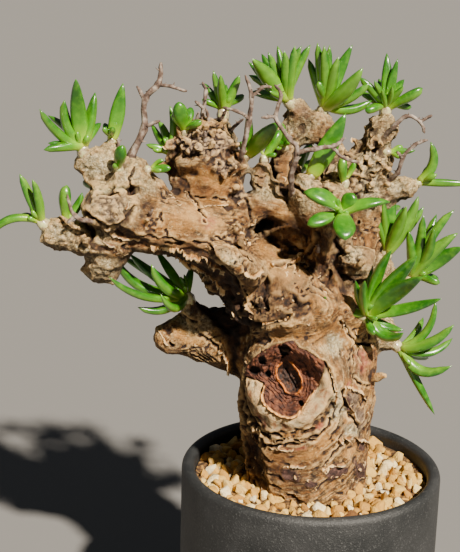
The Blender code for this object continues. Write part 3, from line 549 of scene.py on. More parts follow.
# Cracks and creases of the bark: points in the photograph, width in its pixels, depth in millimetres
cracks = [
    ([(240, 320), (250, 326), (268, 323), (282, 320), (295, 311), (306, 304)], 4.6, 3.0),
    ([(226, 289), (236, 306), (246, 321), (261, 325)], 3.4, 2.4),
    ([(342, 320), (349, 335), (357, 343), (369, 344), (375, 343)], 2.2, 1.8),
    ([(355, 345), (352, 363), (354, 378), (361, 383), (369, 386)], 1.8, 1.3),
    ([(342, 388), (344, 402), (350, 414), (357, 426)], 2.4, 1.7),
    ([(244, 376), (243, 392), (247, 407), (255, 425), (266, 435), (275, 440)], 2.6, 1.8),
    ([(275, 440), (290, 439), (309, 439), (322, 434), (331, 420)], 2.2, 1.5),
    ([(325, 362), (334, 382), (334, 402), (325, 420), (310, 431), (290, 436), (268, 432)], 3.0, 2.2),
    ([(241, 405), (246, 425), (256, 442), (263, 449), (262, 440)], 4.2, 2.6),
    ([(243, 440), (247, 461), (252, 478), (258, 492)], 2.0, 1.8),
    ([(262, 446), (282, 445), (300, 443), (316, 440)], 2.6, 1.5),
    ([(319, 471), (329, 459), (341, 447), (352, 438)], 1.8, 1.3),
    ([(82, 186), (93, 190), (106, 190), (119, 192), (133, 190)], 4.4, 3.6),
    ([(86, 214), (98, 222), (112, 227), (126, 222), (136, 208)], 3.6, 2.8),
    ([(86, 222), (92, 230), (94, 240), (90, 248)], 3.4, 2.6),
    ([(336, 236), (340, 250), (338, 266), (344, 280)], 4.6, 3.0),
    ([(344, 280), (356, 284), (368, 280)], 3.2, 2.2),
    ([(345, 130), (347, 150), (346, 170), (350, 186)], 3.6, 2.6),
    ([(188, 192), (193, 200), (199, 209), (206, 216)], 2.6, 1.6),
    ([(196, 196), (208, 199), (220, 198), (228, 200)], 1.3, 0.5),
    ([(166, 244), (180, 243), (194, 243), (208, 242)], 1.8, 0.8),
    ([(151, 226), (154, 230)], 3.0, 1.8),
    ([(160, 214), (162, 222), (166, 232), (167, 236)], 2.2, 1.2),
    ([(262, 234), (275, 241), (288, 247), (301, 252)], 3.0, 1.6),
    ([(264, 268), (266, 282), (264, 296), (266, 308)], 4.2, 2.8),
    ([(243, 286), (250, 298), (256, 308)], 2.6, 1.8),
    ([(272, 300), (284, 296), (296, 298), (300, 303), (286, 308)], 4.4, 2.4),
    ([(273, 266), (281, 267), (289, 263), (299, 258)], 2.6, 1.9),
    ([(298, 262), (294, 276), (296, 288), (303, 293), (310, 288), (312, 276), (306, 264)], 1.5, 1.0),
    ([(328, 272), (328, 281), (331, 290)], 3.4, 2.2),
    ([(318, 232), (314, 244), (309, 255)], 3.4, 2.2),
    ([(272, 160), (273, 174), (272, 190)], 3.4, 2.8),
    ([(297, 148), (294, 163), (291, 177)], 3.4, 2.6),
    ([(291, 182), (302, 192), (316, 196), (332, 193)], 2.8, 2.0),
    ([(319, 166), (322, 178), (325, 190)], 3.0, 2.2),
    ([(274, 184), (284, 187), (294, 184)], 1.6, 0.9),
    ([(254, 176), (262, 178), (270, 176)], 1.4, 0.7),
    ([(254, 186), (262, 188), (270, 186)], 1.4, 0.7),
    ([(356, 150), (366, 153), (378, 151)], 2.2, 1.4),
    ([(352, 176), (362, 180), (374, 178)], 2.2, 1.4),
    ([(136, 168), (130, 178), (133, 190)], 2.0, 1.2),
    ([(163, 316), (159, 327), (163, 339), (172, 345)], 2.2, 1.5),
    ([(176, 312), (186, 318), (198, 322)], 2.2, 1.4),
    ([(196, 330), (208, 341), (220, 352)], 2.0, 1.3),
    ([(96, 222), (110, 226), (122, 236), (124, 246)], 2.6, 1.6),
    ([(207, 243), (213, 254), (222, 266), (233, 278), (240, 290)], 3.2, 2.0),
    ([(218, 236), (230, 241), (242, 251), (253, 262)], 2.2, 1.4),
    ([(246, 200), (250, 212), (252, 226), (249, 240)], 2.4, 1.6),
    ([(140, 236), (156, 238), (172, 238), (188, 244)], 1.6, 0.9),
]

# Eyes: small ring scars that dead side shoots leave: place in the photograph and radius in its pixels
eyes = [
    (203.5, 221, 2.8), (219.5, 164, 3.2), (300.5, 290, 2.6), (252, 224, 2.4), (247, 236, 2.8),
    (225, 236, 2.6), (341, 178, 2.8), (337, 215, 3.0), (359, 222, 2.6),
]

# Patches of each kind of bark: place and half sizes in the photograph, and turn in degrees
patches = {
    "red": [
        (363, 362, 9, 17, 0), (316, 428, 11, 4, -30), (290, 449, 18, 4, -4), (262, 418, 5, 12, -25),
        (352, 384, 8, 5, 0), (207, 222, 11, 8, 0),
    ],
    "plate": [
        (335, 472, 11, 6, -28), (360, 470, 6, 8, 25), (290, 474, 9, 5, 15), (311, 483, 5, 3, -10),
        (362, 446, 4, 7, 0), (347, 402, 3, 7, -15),
    ],
    # painted shade where the bark lies in shadow, each patch also sunk a little into the skin
    "dark": [
        (255, 455, 8, 28, -12), (338, 262, 8, 16, 0), (350, 279, 13, 6, 0), (321, 262, 6, 14, 0),
        (300, 314, 12, 5, -40), (276, 316, 22, 4, -6), (252, 322, 10, 6, 20), (356, 232, 6, 10, 0),
        (98, 246, 14, 5, 20), (124, 232, 14, 5, 10), (228, 206, 7, 4, 30), (244, 206, 7, 4, -20),
        (249, 232, 4, 9, 10), (230, 222, 6, 3, 0), (150, 233, 4, 5, 0), (158, 219, 3, 3, 0),
        (226, 284, 5, 12, -40), (171, 168, 7, 12, -15), (183, 184, 5, 10, -25), (229, 152, 5, 7, 0),
        (282, 241, 16, 4, 24), (262, 300, 9, 18, 0), (284, 302, 18, 6, -8), (330, 281, 7, 10, 0),
        (322, 243, 8, 14, 0), (214, 262, 30, 5, 30), (134, 240, 20, 6, 12), (196, 252, 26, 4, 12),
        (128, 214, 8, 9, 0), (86, 196, 8, 9, 0), (233, 300, 14, 12, 40), (167, 331, 5, 7, 0),
        (196, 308, 10, 10, 0), (262, 283, 5, 20, 8), (344, 256, 3, 2, 0), (357, 258, 2.5, 3, 0),
        (351, 269, 4, 2, 0),
    ],
    "calm": [
        (284, 165, 9, 20, 0), (304, 214, 34, 20, 0), (204, 186, 30, 22, 0), (200, 208, 20, 12, 0),
        (370, 250, 8, 22, 0), (262, 175, 9, 16, 0), (292, 279, 22, 16, 0), (320, 300, 16, 12, 0),
        (216, 200, 26, 14, 0), (192, 222, 52, 15, 6), (330, 338, 26, 18, 0), (212, 198, 26, 10, 0),
        (262, 250, 17, 14, 30), (300, 215, 22, 14, 0), (268, 258, 20, 8, 0), (187, 335, 20, 12, 20),
        (288, 335, 26, 9, 0), (306, 456, 22, 9, -8), (280, 455, 12, 7, 0), (322, 440, 12, 7, -30),
        (350, 452, 10, 6, -30),
    ],
    "cream": [
        (228, 258, 18, 8, 35), (352, 256, 12, 8, 0), (97, 165, 24, 13, 10), (131, 176, 10, 10, 0),
        (306, 184, 12, 9, 0), (368, 178, 14, 40, 0), (396, 188, 12, 7, 0), (352, 430, 9, 9, 0),
        (60, 232, 16, 9, 25), (337, 404, 11, 24, 0), (333, 345, 14, 14, 0),
    ],
    "grey": [
        (205, 143, 42, 19, 0), (226, 166, 16, 9, -20), (240, 196, 13, 9, 0), (110, 214, 13, 9, 20),
        (108, 202, 22, 12, 8), (352, 400, 9, 11, 0), (358, 418, 8, 14, 0), (322, 168, 9, 22, 0),
        (262, 172, 7, 14, 0), (326, 238, 12, 10, 0), (300, 108, 12, 12, 0),
    ],
    # brown bark, and painted shade where the bark lies in shadow, as on the column under the top leaves and
    # the front stub's lower side
    "brown": [
        (346, 268, 16, 8, 0), (288, 292, 44, 24, 0), (190, 245, 60, 8, 10), (246, 246, 12, 24, -20),
        (300, 228, 34, 12, 0), (370, 248, 10, 26, 0), (336, 280, 16, 20, 0), (252, 215, 20, 16, 0),
        (284, 165, 13, 24, 0), (260, 172, 9, 20, 0), (196, 190, 30, 10, 10), (262, 316, 40, 10, -8),
        (282, 462, 30, 26, 0), (300, 112, 16, 16, 0), (324, 134, 16, 12, 0),
    ],
    "green": [(112, 186, 26, 6, 4), (173, 316, 6, 5, 0), (77, 214, 8, 6, 0)],
    "knobbly": [
        (205, 143, 44, 24, 0), (226, 167, 18, 10, -20), (240, 196, 14, 10, 0), (371, 165, 22, 46, 0),
        (108, 204, 26, 14, 8), (74, 236, 30, 14, 25), (320, 170, 26, 22, 0), (236, 226, 12, 16, 0),
        (152, 226, 9, 13, 0), (231, 257, 26, 11, 33), (351, 260, 21, 16, 20),
    ],
    "frayed": [
        (262, 300, 14, 20, 10), (298, 306, 26, 9, -12), (322, 290, 14, 18, 0), (206, 290, 34, 9, 35),
        (250, 442, 14, 60, 0),
    ],
}

# Places where the bark is flaky all over, as pixels with half sizes
flakyPlaces = [
    (196, 148, 34, 22), (290, 288, 42, 30), (122, 212, 26, 20), (372, 165, 20, 30), (240, 195, 14, 8),
]

# Where the real columns are slimmer than the CAD's: a line, how far round it, and by how much, in millimetres
slimmer = [
    (((-43, 3, 250), (-45, 6, 264)), 12, 1.6),
    (((-27, -5, 234), (-27, -6, 246)), 8, 0.7),
    (((22, 10, 243), (26, 10, 266)), 12, 0.9),
    (((-16, 8, 250), (-11.5, 7, 268)), 10, 0.9),
    (((3.7, 9.5, 243), (2.5, 10, 260)), 9, 0.9),
]

bark = {
    "shingle": 7.6,  # width of a papery layer, mm
    "shingleRise": 1.5,
    "fibre": 1.7,  # width of a fibre, mm
    "fibreRise": 0.28,
    "pitDepth": 1.1,
    "caveDepth": 2.2,
    "calmed": 0.9,  # how much of its lumps a calm patch loses
    "skyWays": 22,
    "skyReach": 60,
    "skyWhole": 8.8,  # what a point sees that has nothing near it
    "skyStep": 5,  # every fifth point looks at the sky, the others take it from their neighbours
}

pixels = pixelsOf(caudex.points * mm)
toCamera = np.array(view["place"]) / mm - caudex.points
toCamera /= np.linalg.norm(toCamera, axis=1)[:, None]
towardCamera = np.einsum("ij,ij->i", toCamera, caudex.normals)
facing = smoothStep(-0.05, 0.25, towardCamera) * (caudex.points[:, 1] < 19)


def nearEnds(points):
    # 1 on the knobbly branch ends, falling to 0 a few millimetres below them
    best = np.zeros(len(points))
    for line, _, _ in branchEnds.values():
        for row in curveThrough(line, 4):
            gap = np.linalg.norm(points - row[:3], axis=1) - row[3]
            best = np.maximum(best, 1 - smoothStep(1.0, 5.0, gap))
    return best


def openness():
    # how much of the sky each point sees, which the finish paints as shade where it is little and as
    # highlight where it is much
    ways = []
    for i in range(bark["skyWays"]):
        z = 1 - 1.25 * (i + 0.5) / bark["skyWays"]
        turn = math.radians(goldenAngle * i)
        ways.append(Vector((math.sqrt(1 - z * z) * math.cos(turn), math.sqrt(1 - z * z) * math.sin(turn), z)))
    seen, known = np.zeros(len(caudex.points)), np.zeros(len(caudex.points))
    for i in range(0, len(caudex.points), bark["skyStep"]):
        normal = Vector(caudex.normals[i])
        spot = (Vector(caudex.points[i]) + normal * 1.5) * mm
        total = 0
        for way in ways:
            share = way.dot(normal)
            if share > 0 and skin.ray_cast(spot, way, bark["skyReach"] * mm)[0] is None:
                total += share
        seen[i], known[i] = total / bark["skyWhole"], 1
    return caudex.smoothed(seen, 9) / np.maximum(caudex.smoothed(known, 9), 1e-6)


def grainField(p):
    # a number whose level lines run the way the bark's fibres do: rings round the scar, then along each limb
    x, y, z = p.T
    rings = np.hypot((x - scar["centre"][0]) * 1.1, z - scar["centre"][1])
    front = smoothStep(2, -14, y) * (1 - smoothStep(174, 190, z))
    arm = smoothStep(-16, -34, x) * smoothStep(168, 180, z)
    arm = np.maximum(arm, smoothStep(216, 226, z))
    return front * rings + (1 - front) * (arm * (z + 0.8 * y) + (1 - arm) * (x + 0.8 * y))


def patchShares(p, warped):
    # how much of each kind of bark a point has, with ragged borders
    ragged = 1 + 0.3 * noiseOf(p, 3.0, 11.3) + 0.22 * noiseOf(p, 1.5, 12.3)
    shares = {}
    for kind, places in patches.items():
        square, soft = (4, 0.95) if kind == "plate" else (2, 0.4)
        shares[kind] = np.zeros(len(p))
        for x, y, wide, high, turn in places:
            turn = math.radians(turn)
            dx, dy = warped[:, 0] - x, warped[:, 1] - y
            along = (dx * math.cos(turn) + dy * math.sin(turn)) / wide
            across = (dy * math.cos(turn) - dx * math.sin(turn)) / high
            away = (np.abs(along) ** square + np.abs(across) ** square) ** (1 / square) * ragged
            shares[kind] = np.maximum(shares[kind], (1 - smoothStep(soft, 1.1, away)) * facing)
    return shares


def cutCracks(p, warped, move, dark):
    # cracks and eyes cut in: how far the skin moves, where it gets painted shade, and where a crack's lip
    # gets a painted highlight
    light = np.zeros(len(p))
    ripple = np.clip(1 + 0.9 * noiseOf(p, 3.2, 9.1), 0.25, 2.2)
    kept = smoothStep(-0.4, -0.1, noiseOf(p, 5.0, 12.4))
    for line, width, depth in cracks:
        share = np.exp(-((nearLine(warped, line) / (0.55 * width * ripple)) ** 2)) * facing * kept
        above = [(x - 0.6, y - 1.3 * width) for x, y in line]
        lip = np.exp(-((nearLine(warped, above) / (0.9 * width)) ** 2)) * facing * kept * (1 - share)
        move += depth * (0.3 * lip - share)
        dark = np.maximum(dark, smoothStep(0.3, 0.85, share))
        light = np.maximum(light, lip)
    for x, y, radius in eyes:
        away = np.hypot(warped[:, 0] - x, warped[:, 1] - y) / radius
        move += (0.6 * np.exp(-(((away - 1) / 0.36) ** 2)) - 1.2 * np.exp(-((away / 0.55) ** 2))) * facing
        dark = np.maximum(dark, np.exp(-((away / 0.6) ** 2)) * facing)
    return move, dark, light


def shapeBark():
    # moves every point of the fine skin along its normal, and keeps what the finish needs as attributes
    p, n = caudex.points, caudex.normals
    ends = nearEnds(p) * (0.55 + 0.45 * smoothStep(-0.3, 0.1, noiseOf(p, 9, 3.3)))
    bare = smoothStep(88, 96, p[:, 2])
    lowTrunk = 1 - smoothStep(126, 150, p[:, 2])
    warped = pixels + 3.0 * np.stack([noiseOf(p, 5.5, 1.1), noiseOf(p, 5.5, 2.2)], axis=1)
    warped += 1.5 * np.stack([noiseOf(p, 2.2, 3.1), noiseOf(p, 2.2, 4.2)], axis=1)
    kinds = patchShares(p, warped)
    knobbly, frayed = kinds["knobbly"], kinds["frayed"]
    calm = kinds["calm"] * (1 - knobbly)
    p = p + bark["calmed"] * calm[:, None] * (caudex.smoothed(p, 40) - p)

    grain = grainField(p)
    rough = np.maximum(0.25 + 0.75 * smoothStep(-0.25, 0.35, noiseOf(p, 22, 1.3)), lowTrunk)
    rough = np.maximum(np.clip(rough * (1 - 0.8 * ends) * (1 - 0.85 * calm), 0, 1), frayed)
    lumps = (0.9 * noiseOf(p, 8, 2.1) + 0.5 * noiseOf(p, 3.6, 2.7)) * (1 - 0.75 * calm) * (1 - 0.7 * ends)
    lumps *= 1 - 0.5 * smoothStep(216, 228, p[:, 2])
    pits = smoothStep(0.56, 0.74, noiseOf(p, 3.4, 13.1)) * (0.15 + 0.5 * rough)
    pits = pits * (1 - 0.5 * ends) * (1 - 0.9 * calm) * (1 - 0.8 * knobbly)

    # papery layers lie over one another like shingles, with torn edges
    level = grain / bark["shingle"] + 1.7 * noiseOf(p, 15, 3.7) + 0.5 * noiseOf(p, 5.5, 4.4)
    level += 0.15 * noiseOf(p, 1.9, 5.2)
    part = level - np.floor(level)
    broken = np.maximum(smoothStep(-0.2, 0.3, noiseOf(p, 9, 6.4)), frayed)
    shingle = (part - 0.5) * smoothStep(0, 0.14, 1 - part) * rough * broken
    alongFibres = np.stack([grain / bark["fibre"], p[:, 0] / 9, p[:, 2] / 9], axis=1)
    fibres = noiseOf(alongFibres, 1.0, 7.5) * (1 - ends)
    crumbs = np.abs(noiseOf(p, 2.2, 8.6)) + 0.6 * np.abs(noiseOf(p, 1.3, 9.4))
    move = lumps - bark["pitDepth"] * pits + (bark["shingleRise"] + 0.7 * frayed) * shingle
    move = move + bark["fibreRise"] * fibres * (0.4 + 0.6 * rough) + (0.5 * crumbs - 0.2) * ends
    bumps = 1.7 * np.abs(noiseOf(p, 3.4, 14.2)) + 1.1 * np.abs(noiseOf(p, 1.7, 15.2)) - 0.65
    move = (move * (1 - 0.6 * knobbly) + bumps * knobbly) * bare
    for (a, b), reach, depth in slimmer:
        start, way = np.array(a), np.array(b) - np.array(a)
        share = np.clip((p - start) @ way / (way @ way), 0, 1)
        away = np.linalg.norm(p - start - share[:, None] * way, axis=1)
        move -= depth * (1 - smoothStep(0.6 * reach, reach, away))

    # the scar is a dish with a healed rim, and the hollows under the limbs are deeper than the CAD's
    inFront = facing * (p[:, 1] < -8)
    dish = smoothStep(-1.0, 1.5, insideOf(pixels, scar["outline"])) * inFront
    callus = smoothStep(-1.5, 2.5, insideOf(warped, scar["callus"])) * inFront * (1 - dish)
    move = move * (1 - 0.9 * dish) * (1 - 0.65 * callus)
    move += scar["callusRise"] * callus - scar["sink"] * dish
    sideways = smoothStep(-0.75, -0.2, towardCamera) * (p[:, 1] < 16)
    cave = np.zeros(len(p))
    for depth, roundSide, outline in caves:
        inside = depth * smoothStep(-2.5, 5.0, insideOf(warped, outline))
        cave = np.maximum(cave, inside * (sideways if roundSide else facing))
    move -= bark["caveDepth"] * cave * (0.7 + 0.9 * noiseOf(p, 4, 10.1))

    move, dark, light = cutCracks(p, warped, move, kinds["dark"])
    move += 0.6 * kinds["plate"] - 0.9 * dark
    caudex.points = p + n * move[:, None]
    caudexMesh.vertices.foreach_set("co", (caudex.points * mm).astype(np.float32).ravel())
    caudexMesh.update()
    caudex.normals = normalsOf(caudexMesh)
    named = {"ends": ends, "rough": rough, "callus": callus, "dish": dish, "cave": cave, "light": light}
    # sky seen and hollowness: where the finish paints shade and highlights into the bark's colour
    named.update({"open": openness(), "small": caudex.hollowness(7), "wide": caudex.hollowness(120)})
    # where each shingle falls to the next, given painted shade in the finish
    named["drop"] = np.exp(-(((part - 0.96) / 0.05) ** 2)) * rough * broken * bare
    named.update({"grain": grain, "calm": calm, "dark": dark})
    named.update({kind: kinds[kind] for kind in ("red", "grey", "cream", "green", "plate", "brown")})
    setAttributes(caudexMesh, **named)

    loose = rough * (1 - ends)
    for x, y, wide, high in flakyPlaces:
        away = np.hypot((pixels[:, 0] - x) / wide, (pixels[:, 1] - y) / high)
        loose = np.maximum(loose, (1 - smoothStep(0.7, 1.0, away)) * facing)
    return list(named), loose * bare * (1 - dish) * (1 - callus)


barkColours = {
    "tan": (
        "broad", (0.30, "#3a1f08"), (0.41, "#6b3f14"), (0.52, "#9c6727"), (0.64, "#c8964c"), (0.8, "#ab7438"),
    ),
    "pale": ("slabs", (0.32, "#94611f"), (0.5, "#b8823c"), (0.7, "#d9aa66")),
    "brown": ("blots", (0.32, "#2c1608"), (0.45, "#5a3414"), (0.58, "#8b5c29"), (0.72, "#b98748")),
    "crumbs": ("crumble", (0.32, "#4a3922"), (0.43, "#8f7b54"), (0.55, "#c7b285"), (0.68, "#efe2bd")),
    "cream": ("flour", (0.32, "#6a5836"), (0.43, "#a8966c"), (0.55, "#d8c9a0"), (0.68, "#faf2d9")),
    "green": ("lichen", (0.34, "#6d6a45"), (0.5, "#a9a578"), (0.66, "#cfc8a0")),
    "ash": ("ashes", (0.32, "#33261f"), (0.46, "#75604f"), (0.6, "#a8937d"), (0.72, "#d0bda0")),
    "healed": (
        "swirls",
        (0.28, "#82452c"), (0.38, "#b07d54"), (0.5, "#cfae7e"), (0.62, "#e3cfa4"), (0.75, "#cbb389"),
    ),
    "blush": ("flush", (0.35, "#581c16"), (0.5, "#933f2f"), (0.66, "#c17c5e")),
    # colours for painted shade in cracks, eyes and shadowed patches
    "umber": ("soot", (0.35, "#120804"), (0.5, "#331c0d"), (0.68, "#7a5128")),
    "plum": ("bruise", (0.32, "#20110d"), (0.5, "#462c26"), (0.68, "#735449")),
    "shade": ("murk", (0.34, "#0d0604"), (0.5, "#26130a"), (0.66, "#5c3a1e")),
}

# Noise patterns: size in millimetres, detail, roughness and distortion
barkPatterns = {
    "broad": (15, 5, 0.62, 0.8), "slabs": (11, 5, 0.6, 0.5), "blots": (7, 5, 0.7, 0.6),
    "stains": (4, 5, 0.72, 0.5), "rust": (6, 4, 0.6, 0), "specks": (2.2, 4, 0.7, 0.4),
    "fine": (0.9, 3, 0.8, 0), "hairs": (3.2, 5, 0.72, 1.1), "hairBreaks": (5, 3, 0.6, 0),
    "chalk": (1.2, 4, 0.8, 0), "crumble": (1.3, 5, 0.7, 0), "worn": (6, 3, 0.6, 0),
    "creaseBreaks": (7, 3, 0.6, 0), "flour": (1.1, 5, 0.7, 0), "lichen": (2.4, 4, 0.7, 0),
    "soot": (2.4, 5, 0.7, 0), "ashes": (2.2, 5, 0.75, 0), "swirls": (5.5, 5, 0.7, 1.5),
    "flush": (3.6, 4, 0.65, 0.8), "blushBreaks": (3, 4, 0.6, 0), "blushBroad": (26, 4, 0.6, 0),
    "bruise": (1.8, 5, 0.7, 0), "murk": (5, 5, 0.7, 0), "relief": (1.1, 6, 0.75, 0),
}

# Patterns that run along the bark's fibres
barkStreaks = {
    "streaks": (2.6, 5, 0.7, 0.3), "fineStreaks": (1.1, 4, 0.7, 0.2), "plies": (9, 4, 0.6, 0.7),
    "creases": (4.5, 4, 0.6, 0.9), "notches": (1.5, 4, 0.75, 0.8),
}


def barkMaterial(names):
    # papery bark, peeling in layers: matt, golden and smooth where fresh, grey and crumbly on old branch ends
    skinFinish = Finish("papery peeling bark", Roughness=0.8)
    tree, values = skinFinish.tree, skinFinish.values
    share, coat = skinFinish.share, skinFinish.coat
    skinFinish.read(*names)
    place = values["place"]

    # fibres run along the level lines of the grain value
    step = addNode(tree, "ShaderNodeMath", {0: values["grain"], 1: mm}, operation="MULTIPLY").outputs[0]
    pushed = addNode(tree, "ShaderNodeCombineXYZ", {"X": step, "Y": step}).outputs[0]
    slow = addNode(tree, "ShaderNodeVectorMath", {0: place, "Scale": 0.16}, operation="SCALE").outputs[0]
    values["fibres"] = addNode(tree, "ShaderNodeVectorMath", {0: pushed, 1: slow}, operation="ADD").outputs[0]
    skinFinish.draw(barkPatterns)
    skinFinish.draw(barkStreaks, "fibres")
    plies = addNode(tree, "ShaderNodeMath", {0: values["plies"], 1: 8.0}, operation="MULTIPLY").outputs[0]
    values["plies"] = addNode(tree, "ShaderNodeMath", {0: plies}, operation="FRACT").outputs[0]
    for name in ("creases", "hairs"):
        # thin lines, where the pattern passes its middle level
        off = addNode(tree, "ShaderNodeMath", {0: values[name], 1: 0.5}, operation="SUBTRACT").outputs[0]
        values[name] = addNode(tree, "ShaderNodeMath", {0: off}, operation="ABSOLUTE").outputs[0]
    # small cells on the crumbly ends, with wavering sides
    bent = addNode(tree, "ShaderNodeTexNoise", {"Vector": place, "Scale": 1 / (3 * mm), "Detail": 2.0})
    links = {0: bent.outputs["Color"], "Scale": 2.2 * mm}
    bent = addNode(tree, "ShaderNodeVectorMath", links, operation="SCALE").outputs[0]
    bent = addNode(tree, "ShaderNodeVectorMath", {0: place, 1: bent}, operation="ADD").outputs[0]
    links = {"Vector": bent, "Scale": 1 / (1.35 * mm)}
    cells = addNode(tree, "ShaderNodeTexVoronoi", links, feature="DISTANCE_TO_EDGE")
    values["cells"] = cells.outputs["Distance"]

    plain = share(("ends", 0.7, 0.1), ("calm", 1.0, 0.2), ("rough", 0.2, 0.75))
    flow = ("calm", 1.0, 0.0, 1.0, 0.22)
    hairs = share(("hairs", 0.016, 0.003), ("hairBreaks", 0.44, 0.56), ("calm", 1.3, 0.3))
    seams = share(("cells", 0.16, 0.02), ("ends", 0.2, 0.8))
    coat(barkColours["tan"])
    coat(barkColours["pale"], "calm", 0.75)
    # brown bark, partly painted shade where the bark lies in shadow
    coat(barkColours["brown"], "brown", 0.6)
    coat("#482809", ("stains", 0.52, 0.60, 0.85), ("calm", 1.0, 0.3))
    coat("#7d4a1a", ("streaks", 0.52, 0.70, 0.6), flow)
    coat("#edd09a", ("streaks", 0.47, 0.30, 0.6), flow)
    coat("#5a3413", ("fineStreaks", 0.56, 0.72, 0.5), flow)
    coat("#a8682c", ("rust", 0.58, 0.74, 0.6))
    # painted shade and painted highlight on the two sides of each ply's step
    coat("#4b2a10", ("plies", 0.80, 0.97, 0.75), plain)
    coat("#f0d49c", ("plies", 0.22, 0.02, 0.45), plain)
    coat("#241006", ("creases", 0.034, 0.006), ("creaseBreaks", 0.38, 0.52), plain, 0.95)
    coat("#5c3614", ("fine", 0.51, 0.66, 0.6))
    coat("#241006", hairs, 0.9)
    coat("#f0d8a4", ("chalk", 0.46, 0.3, 0.5))
    coat("#2a1408", ("specks", 0.56, 0.63), ("rough", 0.0, 0.5), 0.8)
    coat("#3a1f0f", ("notches", 0.61, 0.72), 0.55)
    coat(barkColours["crumbs"], "ends", ("worn", 0.30, 0.5))
    coat(barkColours["cream"], "cream", 0.9)
    coat(barkColours["green"], "green", 0.9)
    coat(barkColours["ash"], "grey", 0.85)
    coat("#4a3420", seams, 0.38)
    coat(barkColours["healed"], "callus", 0.85)
    coat(barkColours["blush"], "red", ("blushBreaks", 0.36, 0.56))
    coat(barkColours["blush"], ("blushBroad", 0.64, 0.74, 0.4))
    coat("#ecc484", ("small", -0.06, -0.3, 0.65))  # painted highlight on raised edges
    coat("#e0b87c", "light", 0.5)
    # the brown again over the highlights: brown bark, partly painted shade
    coat(barkColours["brown"], "brown", 0.6)
    # painted shade on each shingle's step
    coat("#4c2810", ("drop", 0.15, 0.8, 0.75))
    coat("#321c0b", ("open", 0.54, 0.1, 0.9))  # painted shade where the bark sees little sky
    # painted highlight where the bark sees much sky
    coat("#f2cf92", ("open", 0.66, 1.0, 0.22))
    coat("#22100a", ("small", 0.0, 0.17, 0.97), ("ends", 0.0, 1.0, 0.55, 1.0))  # painted shade in the creases, less of it on the branch ends
    # painted shade in broad hollows
    coat("#2a160a", ("wide", 0.25, 2.0, 0.9))
    # painted shade in the cracks, the eyes and the patches where the bark lies in shadow
    coat(barkColours["umber"], "dark", 0.88)
    coat(barkColours["plum"], "plate")
    coat(barkColours["shade"], "cave", 0.92)
    coat("#2a100a", "dish")
    for name, sunk in (("seamRise", seams), ("hairRise", hairs)):
        values[name] = addNode(tree, "ShaderNodeMath", {0: 1.0, 1: sunk}, operation="SUBTRACT").outputs[0]
    reliefs = [("relief", 0.95, 1), ("fineStreaks", 0.5, 0.7), ("plies", 0.4, 1), ("seamRise", 0.5, 0.5)]
    return skinFinish.done(*reliefs, ("hairRise", 0.8, 0.8))


def sliced(whole, names):
    # the fine skin in pieces, one above the other, with one unbroken set of normals
    middles = np.empty(len(whole.polygons) * 3, np.float32)
    whole.polygons.foreach_get("center", middles)
    heights = middles.reshape(-1, 3)[:, 2]
    slices = np.argsort(np.argsort(heights)) * len(names) // len(heights)
    made = []
    for i, name in enumerate(names):
        bm = bmesh.new()
        bm.from_mesh(whole)
        bm.faces.ensure_lookup_table()
        number = bm.verts.layers.int.new("number")
        for v in bm.verts:
            v[number] = v.index
        bmesh.ops.delete(bm, geom=[bm.faces[k] for k in np.flatnonzero(slices != i)], context="FACES")
        mesh = bpy.data.meshes.new(name)
        bm.to_mesh(mesh)
        bm.free()
        kept = np.empty(len(mesh.vertices), np.int32)
        mesh.attributes["number"].data.foreach_get("value", kept)
        mesh.attributes.remove(mesh.attributes["number"])
        mesh.shade_smooth()
        mesh.normals_split_custom_set_from_vertices(caudex.normals[kept].tolist())
        made.append(mesh)
    return made


barkValues, looseness = shapeBark()
print("bark shaped")
barkFinish = barkMaterial(barkValues)
fine = bmesh.new()
fine.from_mesh(caudexMesh)
barkTree = BVHTree.FromBMesh(fine)
fine.free()
for part in sliced(caudexMesh, ("caudexTrunk", "caudexArms", "caudexTops")):
    newPiece(part.name, part, barkFinish, "bark", "caudex")
    print(part.name, "faces", len(part.polygons))


